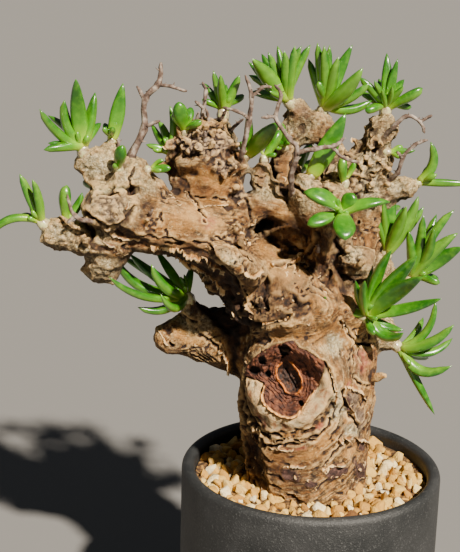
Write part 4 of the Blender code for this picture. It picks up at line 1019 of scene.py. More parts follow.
# Loose flakes of bark: torn edges as pixels of the photograph, the way they hang in degrees, length and lift
tornEdges = [
    ([(150, 244), (163, 247), (176, 247), (190, 252), (203, 256), (214, 262), (224, 268)], 100, 3.6, 1.6),
    ([(176, 256), (190, 263), (204, 270), (216, 280), (226, 290)], 105, 3.4, 1.4),
    ([(200, 296), (206, 302), (212, 309)], 95, 4.2, 1.8),
    ([(222, 346), (228, 356), (233, 368)], 120, 4.5, 1.8),
    ([(244, 268), (254, 274), (262, 266)], 100, 2.6, 1.2),
    ([(268, 262), (278, 266), (288, 262), (298, 256), (305, 250)], 85, 3.0, 1.8),
    ([(240, 292), (248, 304), (254, 314)], 150, 2.6, 1.2),
    ([(262, 322), (276, 320), (288, 316), (298, 308)], 90, 2.4, 1.2),
    ([(335, 440), (343, 437), (352, 436), (361, 438), (367, 442)], 70, 2.8, 2.0),
    ([(319, 470), (328, 460), (338, 449)], 35, 2.4, 1.2),
    ([(248, 430), (258, 438), (270, 441), (284, 442), (298, 441)], 92, 2.4, 1.3),
    ([(262, 446), (278, 448), (294, 447)], 92, 2.2, 1.2),
    ([(283, 466), (296, 463), (308, 466)], 88, 2.4, 1.1),
    ([(322, 470), (332, 463), (344, 462)], 60, 2.6, 1.2),
    ([(326, 364), (332, 376), (335, 390), (333, 404)], 15, 2.0, 1.2),
    ([(344, 386), (352, 384), (362, 388), (366, 398)], 80, 3.4, 1.4),
    ([(343, 396), (350, 410), (357, 424)], 10, 2.6, 1.2),
    ([(240, 384), (240, 400), (244, 416)], 175, 2.4, 1.4),
    ([(339, 319), (346, 332), (352, 342)], 20, 2.0, 1.0),
    ([(186, 190), (194, 200), (204, 208)], 120, 2.4, 1.3),
    ([(204, 204), (216, 204), (228, 202)], 95, 2.2, 1.2),
    ([(92, 236), (104, 240), (116, 244)], 100, 2.2, 1.1),
    ([(110, 232), (124, 236), (140, 238)], 95, 2.2, 1.1),
    ([(262, 306), (274, 309), (286, 306)], 90, 2.2, 1.2),
    ([(296, 262), (302, 260), (308, 264)], 60, 2.0, 1.0),
    ([(160, 326), (165, 338), (172, 344)], 150, 2.0, 1.0),
]
flake = {
    "step": 0.8,
    "rows": 4,
    "thickness": 0.16,
    "thinning": 0.6,  # towards the torn edge
    "curl": 1.6,
    "ragged": 0.4,
    "shortest": 0.12,
    "sink": 0.35,
    "gaps": (0.35, 5),  # the least and the most between two roots
    "looseFrom": 0.45,
    "loose": 420,
    "wide": (1.3, 3.4),
    "long": 2.2,
    "lift": (0.4, 1.1),
    "seed": 41,
}


def flakeSheet(roots, normals, downs, lengths, lift):
    # a thin sheet that stands on a row of roots and curls away from the skin, closed all round
    count, rows = len(roots), flake["rows"]
    half = count * rows
    points, edge = [], []
    for side in (0, 1):
        for root, normal, down, length in zip(roots, normals, downs, lengths):
            for row in range(rows):
                share = row / (rows - 1)
                curl = share ** flake["curl"]
                spot = root + down * length * share + normal * lift * curl * min(1, length)
                thin = side * (1 - flake["thinning"] * share)
                points.append(spot - normal * flake["thickness"] * thin)
                edge.append(share)
    faces = []
    for i in range(count - 1):
        for row in range(rows - 1):
            a, b = i * rows + row, (i + 1) * rows + row
            faces.append((a, b, b + 1, a + 1))
            faces.append((half + a, half + a + 1, half + b + 1, half + b))
        for row, turned in ((0, 1), (rows - 1, -1)):
            a, b = i * rows + row, (i + 1) * rows + row
            faces.append((a, b, half + b, half + a)[::turned])
    for i, turned in ((0, 1), (count - 1, -1)):
        for row in range(rows - 1):
            a = i * rows + row
            faces.append((a, a + 1, half + a + 1, half + a)[::turned])
    return points, faces, edge


def tornRoots(line, turn):
    # where a torn edge stands on the bark, the bark's normals there, and the ways down along it
    turn = math.radians(turn)
    hanging = Vector((math.cos(turn), 0, -math.sin(turn)))
    roots, normals, downs = [], [], []
    for px, py in curveThrough(line, 4 * (len(line) - 1)):
        hit, normal = barkTree.ray_cast(*rayThrough(px, py))[:2]
        least, most = flake["gaps"]
        if hit and (not roots or least <= (hit / mm - roots[-1]).length <= most):
            roots.append(hit / mm - normal * flake["sink"])
            normals.append(normal)
            downs.append((hanging - normal * hanging.dot(normal)).normalized())
    return roots, normals, downs


def raggedLengths(draw, count, length):
    lengths, here = [], 0.7
    for _ in range(count):
        here = min(1, max(flake["shortest"], here + draw.uniform(-flake["ragged"], flake["ragged"])))
        lengths.append(length * here)
    return lengths


def smallFlake(draw, spot, normal):
    # a small loose flake that stands anywhere on flaky bark
    side = normal.orthogonal().normalized()
    side.rotate(Matrix.Rotation(draw.uniform(0, 6.28), 3, normal))
    wide = draw.uniform(*flake["wide"])
    count = int(wide / flake["step"]) + 2
    roots, normals = [], []
    for k in range(count):
        near, out = barkTree.find_nearest((spot + side * wide * (k / (count - 1) - 0.5)) * mm)[:2]
        roots.append(near / mm - out * flake["sink"])
        normals.append(out)
    lengths = raggedLengths(draw, count, flake["long"])
    lengths = [n * math.sin(math.pi * (k + 0.7) / (count + 0.4)) for k, n in enumerate(lengths)]
    return roots, normals, [normal.cross(side)] * count, lengths, draw.uniform(*flake["lift"])


def makeFlakes():
    draw = random.Random(flake["seed"])
    sheets = []
    for line, turn, length, lift in tornEdges:
        standing = tornRoots(line, turn)
        if len(standing[0]) > 2:
            sheets.append(flakeSheet(*standing, raggedLengths(draw, len(standing[0]), length), lift))
    loose = np.flatnonzero(looseness > flake["looseFrom"]).tolist()
    for i in draw.sample(loose, min(flake["loose"], len(loose))):
        sheets.append(flakeSheet(*smallFlake(draw, Vector(caudex.points[i]), Vector(caudex.normals[i]))))
    points, faces, edges = [], [], []
    for sheetPoints, sheetFaces, edge in sheets:
        faces += [tuple(len(points) + k for k in ring) for ring in sheetFaces]
        points += [p * mm for p in sheetPoints]
        edges += edge
    mesh = meshFrom("barkFlakes", points, faces, turnOut=True)
    setAttributes(mesh, edge=edges)
    return mesh


def flakeMaterial():
    # dry outer bark, thin as paper: amber to cream, paler where the torn edge catches light
    paper = Finish("torn papery bark", Roughness=0.75)
    paper.read("edge")
    paper.draw({"blotches": (7, 5, 0.5, 0), "fibres": (0.9, 5, 0.5, 0)})
    paper.coat(("blotches", (0.32, "#5a3416"), (0.46, "#9a6a34"), (0.58, "#c99c5e"), (0.72, "#e2c596")))
    paper.coat("#ecd6a8", ("edge", 0.6, 1.0, 0.7))
    return paper.done(("fibres", 0.5, 0.3))


newPiece("barkFlakes", makeFlakes(), flakeMaterial(), "bark")
print("flakes done")


# Dead wood in the old pruning scar: lines as pixels of the photograph, and holes with their radius and depth
deadWood = {
    "lip": [
        (264, 386), (261, 396), (264, 404), (272, 411), (281, 416), (290, 418), (298, 415), (304, 406),
        (315, 391),
    ],
    "heart": [
        (281, 363), (285, 358), (291, 361), (295, 367), (299, 372), (302, 379), (302, 387), (298, 393),
        (291, 394), (286, 391), (283, 385), (278, 379), (276, 373), (277, 367),
    ],
    "holes": [
        (254, 371, 5.5, 4), (262, 360, 4.5, 3), (284, 350, 6.5, 5), (301, 403, 2.8, 6), (268, 374, 4, 3),
    ],
    "crack": [(286, 369), (290, 378), (296, 388)],
    "middle": (287, 381),
    "rows": 84,
    "turns": 300,
    "overlap": 1.035,  # how far the sheet goes in under the healed rim
    "lift": 0.7,
    "ringRise": 0.9,
    "heartDepth": 1.7,
    "rimHeight": 0.9,
    "lipHeight": 2.2,
    "crackDepth": 1.2,
    "edgeSink": 1.6,
    "outward": (-0.1, -0.97, 0.2),
}


def scarSpots():
    # rings of pixels from the scar's middle out to its edge
    away = np.array(curveThrough(scar["outline"] + scar["outline"][:1], 6)) - deadWood["middle"]
    angles, reach = np.arctan2(away[:, 1], away[:, 0]), np.hypot(away[:, 0], away[:, 1])
    order = np.argsort(angles)
    turns = np.linspace(-math.pi, math.pi, deadWood["turns"], endpoint=False)
    edge = np.interp(turns, angles[order], reach[order], period=2 * math.pi)
    ways = np.stack([np.cos(turns), np.sin(turns)], axis=1)
    shares = (np.arange(deadWood["rows"]) + 0.5) / deadWood["rows"]
    rings = [deadWood["middle"] + (edge * share)[:, None] * ways for share in shares * deadWood["overlap"]]
    return np.concatenate(rings), np.repeat(shares, deadWood["turns"])


def onDish(spots):
    # the CAD's skin at these pixels, with its facets rubbed out
    grid = np.array([seenAt(px, py)[0] for px, py in spots]) / mm
    grid = grid.reshape(deadWood["rows"], deadWood["turns"], 3)
    for _ in range(30):
        soft = grid.copy()
        soft[1:-1] = (grid[:-2] + grid[2:] + np.roll(grid, 1, 1)[1:-1] + np.roll(grid, -1, 1)[1:-1]) / 4
        soft[0] = soft[1].mean(axis=0) * 0.5 + soft[0] * 0.5
        grid = soft
    return grid.reshape(-1, 3)


def makeScar():
    # a fine polar sheet laid over the dish: rings of old growth, a hollow heart with a raised rim, a torn lip
    spots, shares = scarSpots()
    points = onDish(spots)
    heart = insideOf(spots, deadWood["heart"])
    rim = np.exp(-((heart / 1.3) ** 2))
    lip = np.exp(-((nearLine(spots, deadWood["lip"]) / (1.7 + 0.8 * noiseOf(points, 2.5, 3.9))) ** 2))
    rings = -heart / 4.2 + 1.1 * noiseOf(points, 6, 2.2) + 0.35 * noiseOf(points, 2.2, 3.1)
    ring = rings - np.floor(rings)
    ringed = deadWood["ringRise"] * (ring - 0.5) * smoothStep(0, 0.25, ring)
    out = deadWood["lift"] + np.where(heart < 0, ringed, 0)
    out += 0.75 * noiseOf(points, 2.4, 4.7) + 0.45 * noiseOf(points, 1.1, 5.9) + noiseOf(points, 6.5, 6.1)
    out -= deadWood["heartDepth"] * smoothStep(0.2, 5.5, heart)
    out += deadWood["rimHeight"] * rim * (0.8 + 0.6 * noiseOf(points, 2.5, 7.7))
    dark = np.zeros(len(spots))
    for px, py, radius, depth in deadWood["holes"]:
        away = np.hypot(spots[:, 0] - px, spots[:, 1] - py) / radius * (1 + 0.4 * noiseOf(points, 2, 8.3))
        hole = 1 - smoothStep(0.6, 1.1, away)
        out -= depth * hole
        dark = np.maximum(dark, hole)
    split = np.exp(-((nearLine(spots, deadWood["crack"]) / 0.9) ** 2))
    out -= deadWood["crackDepth"] * split
    dark = np.maximum(dark, 0.9 * split)
    out += deadWood["lipHeight"] * lip * (0.75 + 0.9 * noiseOf(points, 1.8, 9.9))
    out -= deadWood["edgeSink"] * smoothStep(0.975, 1.0, shares)
    points += out[:, None] * deadWood["outward"]
    faces = wrapFaces(deadWood["rows"], deadWood["turns"]) + [tuple(reversed(range(deadWood["turns"])))]
    mesh = meshFrom("scarWood", points * mm, faces)
    if mesh.polygons[0].normal.y > 0:
        mesh.flip_normals()
    rim *= smoothStep(-0.35, 0.1, noiseOf(points, 5, 1.7) + 0.25)
    setAttributes(mesh, heart=smoothStep(0.3, 2.0, heart), rim=rim, lip=lip, dark=dark, ring=ring)
    return mesh


def scarMaterial():
    # weathered dead wood: dry, torn and fibrous, red-brown, with an orange edge where resin shows
    wood = Finish("weathered dead wood", Roughness=0.72)
    wood.read("heart", "rim", "lip", "dark", "ring")
    patterns = {"body": (3.4, 5), "torn": (1.1, 4), "pits": (1.4, 4), "core": (1.6, 5), "splinters": (0.8, 5)}
    wood.draw({name: (*pattern, 0.7, 0) for name, pattern in patterns.items()})
    browns = [(0.30, "#1c0a07"), (0.43, "#3d1c0e"), (0.54, "#5e321c"), (0.66, "#7e4a2b"), (0.8, "#ad8058")]
    wood.coat(("body", *browns))
    wood.coat("#230d09", ("ring", 0.25, 0.0, 0.75))
    wood.coat("#b07a50", ("torn", 0.60, 0.72, 0.6))
    wood.coat("#1c0b08", ("pits", 0.42, 0.30, 0.8))
    wood.coat(("core", (0.35, "#0e0705"), (0.52, "#301a10"), (0.7, "#6e452c")), "heart")
    wood.coat("#c9742a", ("rim", 0.35, 0.8))
    wood.coat("#e6a862", ("lip", 0.3, 0.8))
    # painted shade in the holes and the split
    wood.coat("#0d0605", ("dark", 0.1, 0.7))
    return wood.done(("splinters", 0.8, 0.5))


newPiece("scarWood", makeScar(), scarMaterial(), "bark")
print("scar done")


# Leaf: its shape from foot to tip as shares of the whole, and the head it grows on
leaf = {
    "rings": 15,
    "sides": 14,
    "thickness": 0.53,
    "thickest": 5.8,
    "wider": 0.98,
    "slim": [
        (0, 0.64), (0.14, 0.82), (0.32, 0.98), (0.48, 1), (0.66, 0.84), (0.82, 0.56), (0.92, 0.31),
        (0.975, 0.14), (1, 0.01),
    ],
    "round": [
        (0, 0.42), (0.12, 0.50), (0.3, 0.72), (0.52, 0.96), (0.68, 1), (0.84, 0.78), (0.95, 0.38),
        (1, 0.02),
    ],
    "flatness": 0.62,  # of the upper side
    "belly": 0.85,
    "groove": 0.3,
    "grooveWidth": 0.42,
    "grown": 15,  # a shorter leaf has only a faint groove
    "faint": 0.35,
    "sway": 0.05,
    "reach": 12,
    "few": (2.1, 3.0, 2),  # a head of up to four leaves: its radius, height and number of buds
    "many": (2.7, 4.6, 5),
    "budTurn": 20,
    "budSpread": (0.25, 0.7),
    "budLength": (4, 8),
    "budWidth": (1.8, 3.0),
    "budBow": -0.08,
    "lump": 0.14,
    "crown": [(-3.0, 0.95), (0, 1.0), (1.2, 0.95), (2.4, 0.8), (3.4, 0.5)],  # heights and widths up a head
    # heads that lie in shadow get painted shade: a darker green added to their leaves' tone
    "shadedHeads": ("right_front", "right_upper", "right_back", "right_low", "left_low"),
    "headShade": 1.1,
    "seed": 23,
}

# Heads of leaves by the CAD node that each stands in for: its seat in millimetres, the clock angle and lean
# that it faces, and its leaves. A leaf is its clock angle, its lean to the viewer, its length, width and bow.
heads = {
    "upper_left": ((-103, -19.5, 248.5), (0, 10), [
        (-43, 22, 26, 5.2, -0.06), (-52, -14, 20, 3.8, 0.1), (-20, 8, 21, 6.0, -0.12),
        (-13, -12, 24, 4.2, 0.02), (-3, 20, 32, 7.0, -0.08), (12, -4, 23, 5.6, 0.02),
        (-80, 22, 15, 4.0, 0.04), (-92, 34, 18, 5.0, 0.06), (40, -50, 15, 4.6, 0.08),
        (-40, -48, 17, 4.8, 0.08),
    ]),
    "upper_left_finger": ((-92, -14, 252), (5, 0), [
        (11, 4, 25, 6.6, 0.03), (-33, 40, 8, 3.0, 0.05), (10, 55, 9, 3.2, 0.05), (-35, -40, 9, 3.4, 0.08),
    ]),
    "upper_left_single": ((-88, -21, 244), (0, 50), [(12, 36, 14, 5.6, 0.05)]),
    "upper_left_inner": ((-81, -17, 243), (70, 15), [(82, 10, 10, 3.8, -0.05)]),
    "far_left": ((-117.5, -25, 220), (-45, 10), [
        (-22, 8, 23, 5.6, 0.04), (-6, 22, 21, 4.6, -0.03), (-112, 8, 23, 4.4, 0.22),
        (-35, -45, 14, 4.2, 0.08), (-90, -40, 12, 4.0, 0.08),
    ]),
    "far_left_inner": ((-111, -22, 219), (15, 0), [(2, 10, 16, 6.4, -0.03), (29, -14, 13, 4.2, -0.1)]),
    "mid_left": ((-94, -15, 231), (-50, -45), [(-35, -22, 17, 4.6, 0.05), (-75, -45, 12, 4.0, 0.05)]),
    "knob_left": ((-67, -6, 250), (-55, 0), [
        (0, 0, 20, 4.6, -0.06), (-21, -12, 14, 4.6, -0.05), (-36, -28, 15, 3.6, 0.02),
        (-71, 10, 11, 3.6, 0.05),
    ]),
    "knob_top": ((-61, -8, 257), (0, 25), [
        (-11, 26, 15, 6.8, 0.05), (-34, 26, 10, 4.0, 0.04), (61, 34, 10, 4.0, 0.05),
        (15, -35, 11, 4.4, 0.08),
    ]),
    "second_column": ((-45, 6, 262), (0, 0), [
        (-37, -8, 15, 4.2, 0.05), (-15, 8, 18, 4.2, 0.02), (-5, 30, 18, 4.4, 0.02), (22, 10, 18, 5.2, 0.03),
        (-66, 10, 10, 3.6, 0.04), (62, -25, 11, 4.2, 0.06), (5, -42, 14, 4.4, 0.08),
    ]),
    "mid_front": ((-34, -6, 250), (35, 25), [
        (0, 14, 20, 4.8, 0.02), (36, 38, 27, 7.8, 0.03), (-37, 40, 9, 3.6, 0.04),
    ]),
    "thin_branch": ((-27, -6, 245), (5, 0), [(28, -6, 14, 5.4, 0.02), (75, 30, 6, 2.8, 0.05)]),
    "top_left": ((-13, 6, 268), (-42, 12), [
        (-46, 18, 26, 5.4, 0.05), (-40, 32, 29, 7.6, 0.06), (-31, -12, 22, 5.2, 0.05),
        (-13, 0, 24, 5.4, 0.02), (-6, 24, 24, 5.4, 0.02), (14, 12, 24, 5.8, 0.1), (-24, 14, 24, 5.4, 0.04),
        (-58, 6, 20, 5.0, 0.05), (-62, 42, 11, 3.6, 0.04), (-45, -42, 19, 5.0, 0.08),
        (-84, -25, 17, 4.8, 0.08), (23, 4, 25, 5.6, 0.06), (4, 20, 26, 5.8, 0.03),
    ]),
    "top_right": ((-3, 7.5, 265), (25, 5), [
        (-4, 18, 29, 5.8, 0.02), (10, 24, 25, 6.0, 0.0), (22, -6, 28, 6.0, -0.05), (37, 28, 27, 7.6, -0.06),
        (82, -2, 20, 5.4, -0.12), (-22, 30, 13, 4.4, 0.02), (2, 2, 27, 5.4, 0.03), (58, 12, 22, 5.6, -0.05),
        (55, -32, 20, 5.2, 0.06), (8, -45, 19, 5.0, 0.08), (95, -45, 15, 4.6, 0.08),
        (-11, 12, 28, 6.0, 0.02), (-21, 0, 22, 5.4, 0.03),
    ]),
    "thick_side": ((-18, 4, 252), (-30, 60), [(-6, 32, 14, 4.4, 0.03), (-40, 55, 8, 3.4, 0.03)]),
    "pale_stub": ((-8, -12, 240), (25, 15), [(25, 8, 31, 9.0, 0.03)]),
    "small_leaf": ((8, -5, 235), (10, 10), [(-6, 15, 12, 5.2, -0.06)]),
    "right_top": ((26, 10, 265), (5, 5), [
        (-2, -6, 24, 5.4, 0.05), (-45, 8, 18, 5.2, 0.05), (9, 6, 21, 4.2, 0.02), (56, 16, 18, 6.0, 0.02),
        (-104, 34, 12, 4.6, 0.05), (-30, 22, 14, 3.6, 0.02), (-18, 38, 12, 3.4, 0.02),
        (6, 40, 13, 3.4, 0.02), (32, 32, 13, 3.6, 0.02), (-66, -28, 14, 4.4, 0.06),
        (38, -38, 17, 4.8, 0.08), (100, -8, 11, 4.0, 0.05), (-14, -44, 16, 4.6, 0.08),
    ]),
    "right_side": ((39, 4.5, 236), (55, 0), [(10, 8, 19, 5.4, 0.22), (90, 4, 21, 4.6, 0.02)]),
    "right_small": ((29, 6, 251), (90, 20), [(84, 6, 12, 3.4, 0.02)]),
    "five_leaf": ((6, -23, 226), (5, 45), [
        (-60, 14, 20, 7.6, 0.2), (24, 12, 10, 7.4, 0.05), (180, 64, 18, 9.6, 0.1),
        (-104, 26, 17, 6.4, 0.06), (74, 6, 20, 5.2, 0.2),
    ]),
    "right_front": ((16, -19, 181.5), (45, 45), [
        (-62, 20, 23, 4.8, -0.16), (-20, 26, 21, 4.0, -0.03), (-10, 36, 24, 5.0, -0.03),
        (3, 4, 21, 4.4, 0.0), (14, 16, 34, 6.0, -0.05), (30, 22, 38, 8.4, -0.03), (40, 34, 38, 8.0, -0.04),
        (68, 20, 34, 5.4, -0.08), (106, 34, 18, 5.6, -0.34), (108, 8, 17, 4.6, -0.14),
        (150, 52, 10, 4.2, -0.1),
    ]),
    "right_upper": ((29, 4, 200.5), (10, -5), [
        (4, -8, 31, 6.0, 0.05), (-8, 8, 24, 5.0, 0.03), (-20, 10, 15, 4.2, 0.02), (23, 10, 30, 7.2, -0.04),
        (14, 24, 26, 6.0, 0.02), (36, 2, 25, 5.6, 0.0), (24, -35, 24, 4.8, 0.04), (-30, -42, 18, 4.6, 0.06),
    ]),
    "right_back": ((38, 5.5, 191), (50, 5), [
        (4, 12, 31, 6.2, 0.05), (12, 26, 29, 5.6, 0.1), (26, 4, 35, 6.4, -0.05), (38, 14, 30, 6.8, -0.05),
        (50, 18, 27, 7.6, -0.06), (60, -20, 23, 6.0, -0.03), (-10, 16, 24, 5.6, 0.04),
        (20, -16, 30, 6.0, 0.02), (98, 30, 12, 4.4, 0.05), (40, -48, 22, 5.2, 0.06),
        (105, -35, 16, 4.6, 0.06),
    ]),
    "right_low": ((32, -6, 168.5), (128, 15), [
        (31, 0, 27, 4.8, 0.2), (56, 16, 27, 6.2, 0.13), (78, -10, 24, 5.0, 0.2), (102, 20, 25, 6.2, 0.32),
        (150, 0, 36, 4.2, 0.02), (118, -35, 20, 4.8, 0.06), (45, -38, 20, 4.8, 0.1),
    ]),
    "left_low": ((-56, -4, 180), (-25, 15), [
        (-68, 28, 40, 4.6, -0.11), (-62, 58, 22, 4.6, -0.26), (-60, 10, 36, 5.8, -0.2),
        (-64, -16, 36, 4.4, 0.0), (-56, -6, 31, 5.4, -0.06), (-40, -26, 25, 4.4, 0.02),
        (-42, 24, 25, 5.8, -0.12), (-104, 14, 22, 4.8, -0.2), (-98, -10, 14, 4.4, -0.05),
        (10, -30, 14, 4.2, 0.05), (-80, -45, 20, 4.6, 0.05),
    ]),
    "back_limb": ((-11, 28, 229), (0, -30), [
        (-10, -20, 24, 5.6, 0.04), (30, -35, 22, 5.4, 0.06), (-45, -30, 21, 5.2, 0.06),
        (-20, -62, 20, 5.2, 0.08), (70, -45, 18, 5.0, 0.1), (-80, -50, 17, 5.0, 0.1),
        (20, -10, 14, 4.2, 0.04),
    ]),
    "back_left": ((-51, 20, 211), (-50, -30), [
        (-30, -15, 23, 5.4, 0.04), (-65, -25, 24, 5.6, 0.04), (-100, -25, 18, 5.0, 0.08),
        (-10, -50, 19, 5.2, 0.08), (-70, -65, 17, 5.0, 0.1),
    ]),
    "back_right": ((27, 30, 211), (30, -40), [
        (5, -20, 22, 5.4, 0.04), (45, -30, 23, 5.4, 0.04), (20, -60, 21, 5.2, 0.08),
        (80, -50, 18, 5.0, 0.1), (-40, -55, 17, 4.8, 0.1), (-15, -25, 13, 4.2, 0.04),
    ]),
}


def leafRings(path, halfWidth, halfThick, lift, grooved, profile):
    # rows of points round a fleshy leaf: flatter and grooved above, rounded below
    places, shares = zip(*leaf[profile])
    rings = []
    for i, centre in enumerate(path):
        t = i / (len(path) - 1)
        share = np.interp(t, places, shares)
        tangent = (path[min(i + 1, len(path) - 1)] - path[max(i - 1, 0)]).normalized()
        side = tangent.cross(lift).normalized()
        thick = side.cross(tangent)
        wide = halfWidth * share
        deep = halfThick * (0.35 + 0.65 * share) * min(1, share * 2.2)
        ring = []
        for k in range(leaf["sides"]):
            turn = 2 * math.pi * k / leaf["sides"]
            x, y = math.cos(turn), math.sin(turn)
            if y > 0:
                groove = grooved * leaf["groove"] * math.exp(-((x / leaf["grooveWidth"]) ** 2))
                y = leaf["flatness"] * y - groove * math.sin(math.pi * t)
            else:
                y = -abs(y) ** leaf["belly"]
            ring.append(centre + side * wide * x + thick * deep * y)
        rings.append(ring)
    return rings


def bowedLeaf(draw, axis, root, way, length, width, bow):
    # one leaf, bowed towards or away from its head's axis
    lift = axis - way * axis.dot(way)
    if lift.length < 0.25:
        lift = Vector((0, -1, 0)) + way * way.y
    lift.normalize()
    tip = root + way * length * mm
    control = (root + tip) / 2 + lift * 2 * bow * length * mm
    control += way.cross(lift) * draw.uniform(-leaf["sway"], leaf["sway"]) * length * mm
    steps = [i / (leaf["rings"] - 1) for i in range(leaf["rings"])]
    path = [root * (1 - t) ** 2 + control * 2 * t * (1 - t) + tip * t * t for t in steps]
    width *= 1 if length < 3 * width else leaf["wider"]
    thick = leaf["thickness"] * min(width, leaf["thickest"])
    profile = "round" if length < 3.1 * width else "slim"
    grooved = 1.0 if length > leaf["grown"] else leaf["faint"]
    return leafRings(path, width / 2 * mm, thick * mm, lift, grooved, profile)


def crownRings(foot, axis, sideways, radius, height):
    # the knobbly end of the branch that a head stands on
    rings = []
    for i, (rise, size) in enumerate(leaf["crown"]):
        centre = foot + axis * rise * (height / 4.6 if rise > 0 else 1) * mm
        ring = []
        for k in range(leaf["sides"]):
            out = sideways.copy()
            out.rotate(Matrix.Rotation(2 * math.pi * k / leaf["sides"], 3, axis))
            lump = 1 + leaf["lump"] * math.cos(5 * math.pi * (k + i) / leaf["sides"] * 2) * (i % 2)
            ring.append(centre + out * radius * size * lump * mm)
        rings.append(ring)
    return rings


def makeHead(name, finish):
    seat, faces, leaves = heads[name]
    draw = random.Random(leaf["seed"] + len(name) * 7 + int(seat[0]))
    axis = direction(*faces)
    sideways = axis.orthogonal().normalized()
    seat = Vector(seat) * mm
    reach = leaf["reach"] * mm
    foot = skin.ray_cast(seat, axis, reach)[0] or skin.ray_cast(seat, -axis, reach)[0] or seat
    radius, height, buds = leaf["few" if len(leaves) <= 4 else "many"]
    rows = []
    for i, (clock, lean, *shape) in enumerate(leaves):
        way = direction(clock, lean)
        outward = way - axis * way.dot(axis)
        root = foot + outward * 0.5 * radius * mm + axis * height * (0.5 + 0.15 * (i % 3)) * mm - way * mm
        rows.append((0.0, root, way, *shape))
    for i in range(buds):
        out = sideways.copy()
        turn = math.radians(goldenAngle * i + draw.uniform(-leaf["budTurn"], leaf["budTurn"]))
        out.rotate(Matrix.Rotation(turn, 3, axis))
        way = (axis + out * draw.uniform(*leaf["budSpread"])).normalized()
        root = foot + axis * height * 0.8 * mm + out * 0.5 * mm
        size = draw.uniform(*leaf["budLength"]), draw.uniform(*leaf["budWidth"])
        rows.append((0.5, root, way, *size, leaf["budBow"]))
    tubes = []
    for young, *row in rows:
        rings = bowedLeaf(draw, axis, *row)
        tubes.append((rings, draw.uniform(0, 1) + leaf["headShade"] * (name in leaf["shadedHeads"]), young))
    tubes.append((crownRings(foot, axis, sideways, radius, height), 0.5, 1.0))

    points, ringFaces = [], []
    shades = {"along": [], "tone": [], "upper": [], "crown": []}
    count = leaf["sides"]
    for rings, tone, young in tubes:
        ringFaces += wrapFaces(len(rings), count, len(points), capped=True)
        for i, ring in enumerate(rings):
            points += ring
            shades["along"] += [i / (len(rings) - 1) * (1 - young)] * count
            shades["tone"] += [tone] * count
            shades["upper"] += [math.sin(2 * math.pi * k / count) for k in range(count)]
            shades["crown"] += [float(young == 1)] * count
    mesh = meshFrom("leaves_" + name, points, ringFaces, turnOut=True)
    setAttributes(mesh, **shades)
    newPiece(camel("leaves", *name.split("_")), mesh, finish, "leaf", "leaves_" + name)
    return len(mesh.polygons)


def leafMaterial():
    # fleshy grown leaf: waxy skin over soft wet tissue that light goes a little way into, lime at the foot
    waxy = Finish("fleshy waxy leaf", Roughness=0.3, Coat_Weight=0.6, Coat_Roughness=0.17)
    waxy.shader.inputs["Subsurface Weight"].default_value = 0.12
    waxy.shader.inputs["Subsurface Radius"].default_value = (0.6, 1.0, 0.25)
    waxy.shader.inputs["Subsurface Scale"].default_value = 1.5 * mm
    waxy.read("along", "tone", "upper", "crown")
    waxy.draw({"mottles": (3, 3, 0.5, 0), "knobs": (1.6, 4, 0.5, 0), "cells": (0.5, 3, 0.5, 0)})
    greens = [(0.0, "#c9d244"), (0.13, "#94bf20"), (0.34, "#4f8f10"), (0.75, "#27620e"), (1.0, "#376f1a")]
    waxy.coat(("along", *greens))
    # darker green at random per leaf, and painted shade on the heads that lie in shadow
    waxy.coat("#155a0c", "tone", 0.34)
    waxy.coat("#74b424", ("mottles", 0.45, 0.75, 0.4))
    waxy.coat("#9ccb3c", ("upper", 0.1, -0.6, 0.22))
    waxy.coat(("knobs", (0.35, "#7d6a4c"), (0.5, "#b9a983"), (0.66, "#c9cf8e")), "crown")
    return waxy.done(("cells", 0.25, 0.2))


leafFinish = leafMaterial()
leafFaces = sum(makeHead(name, leafFinish) for name in heads)
print("leaf heads:", len(heads), "faces", leafFaces)


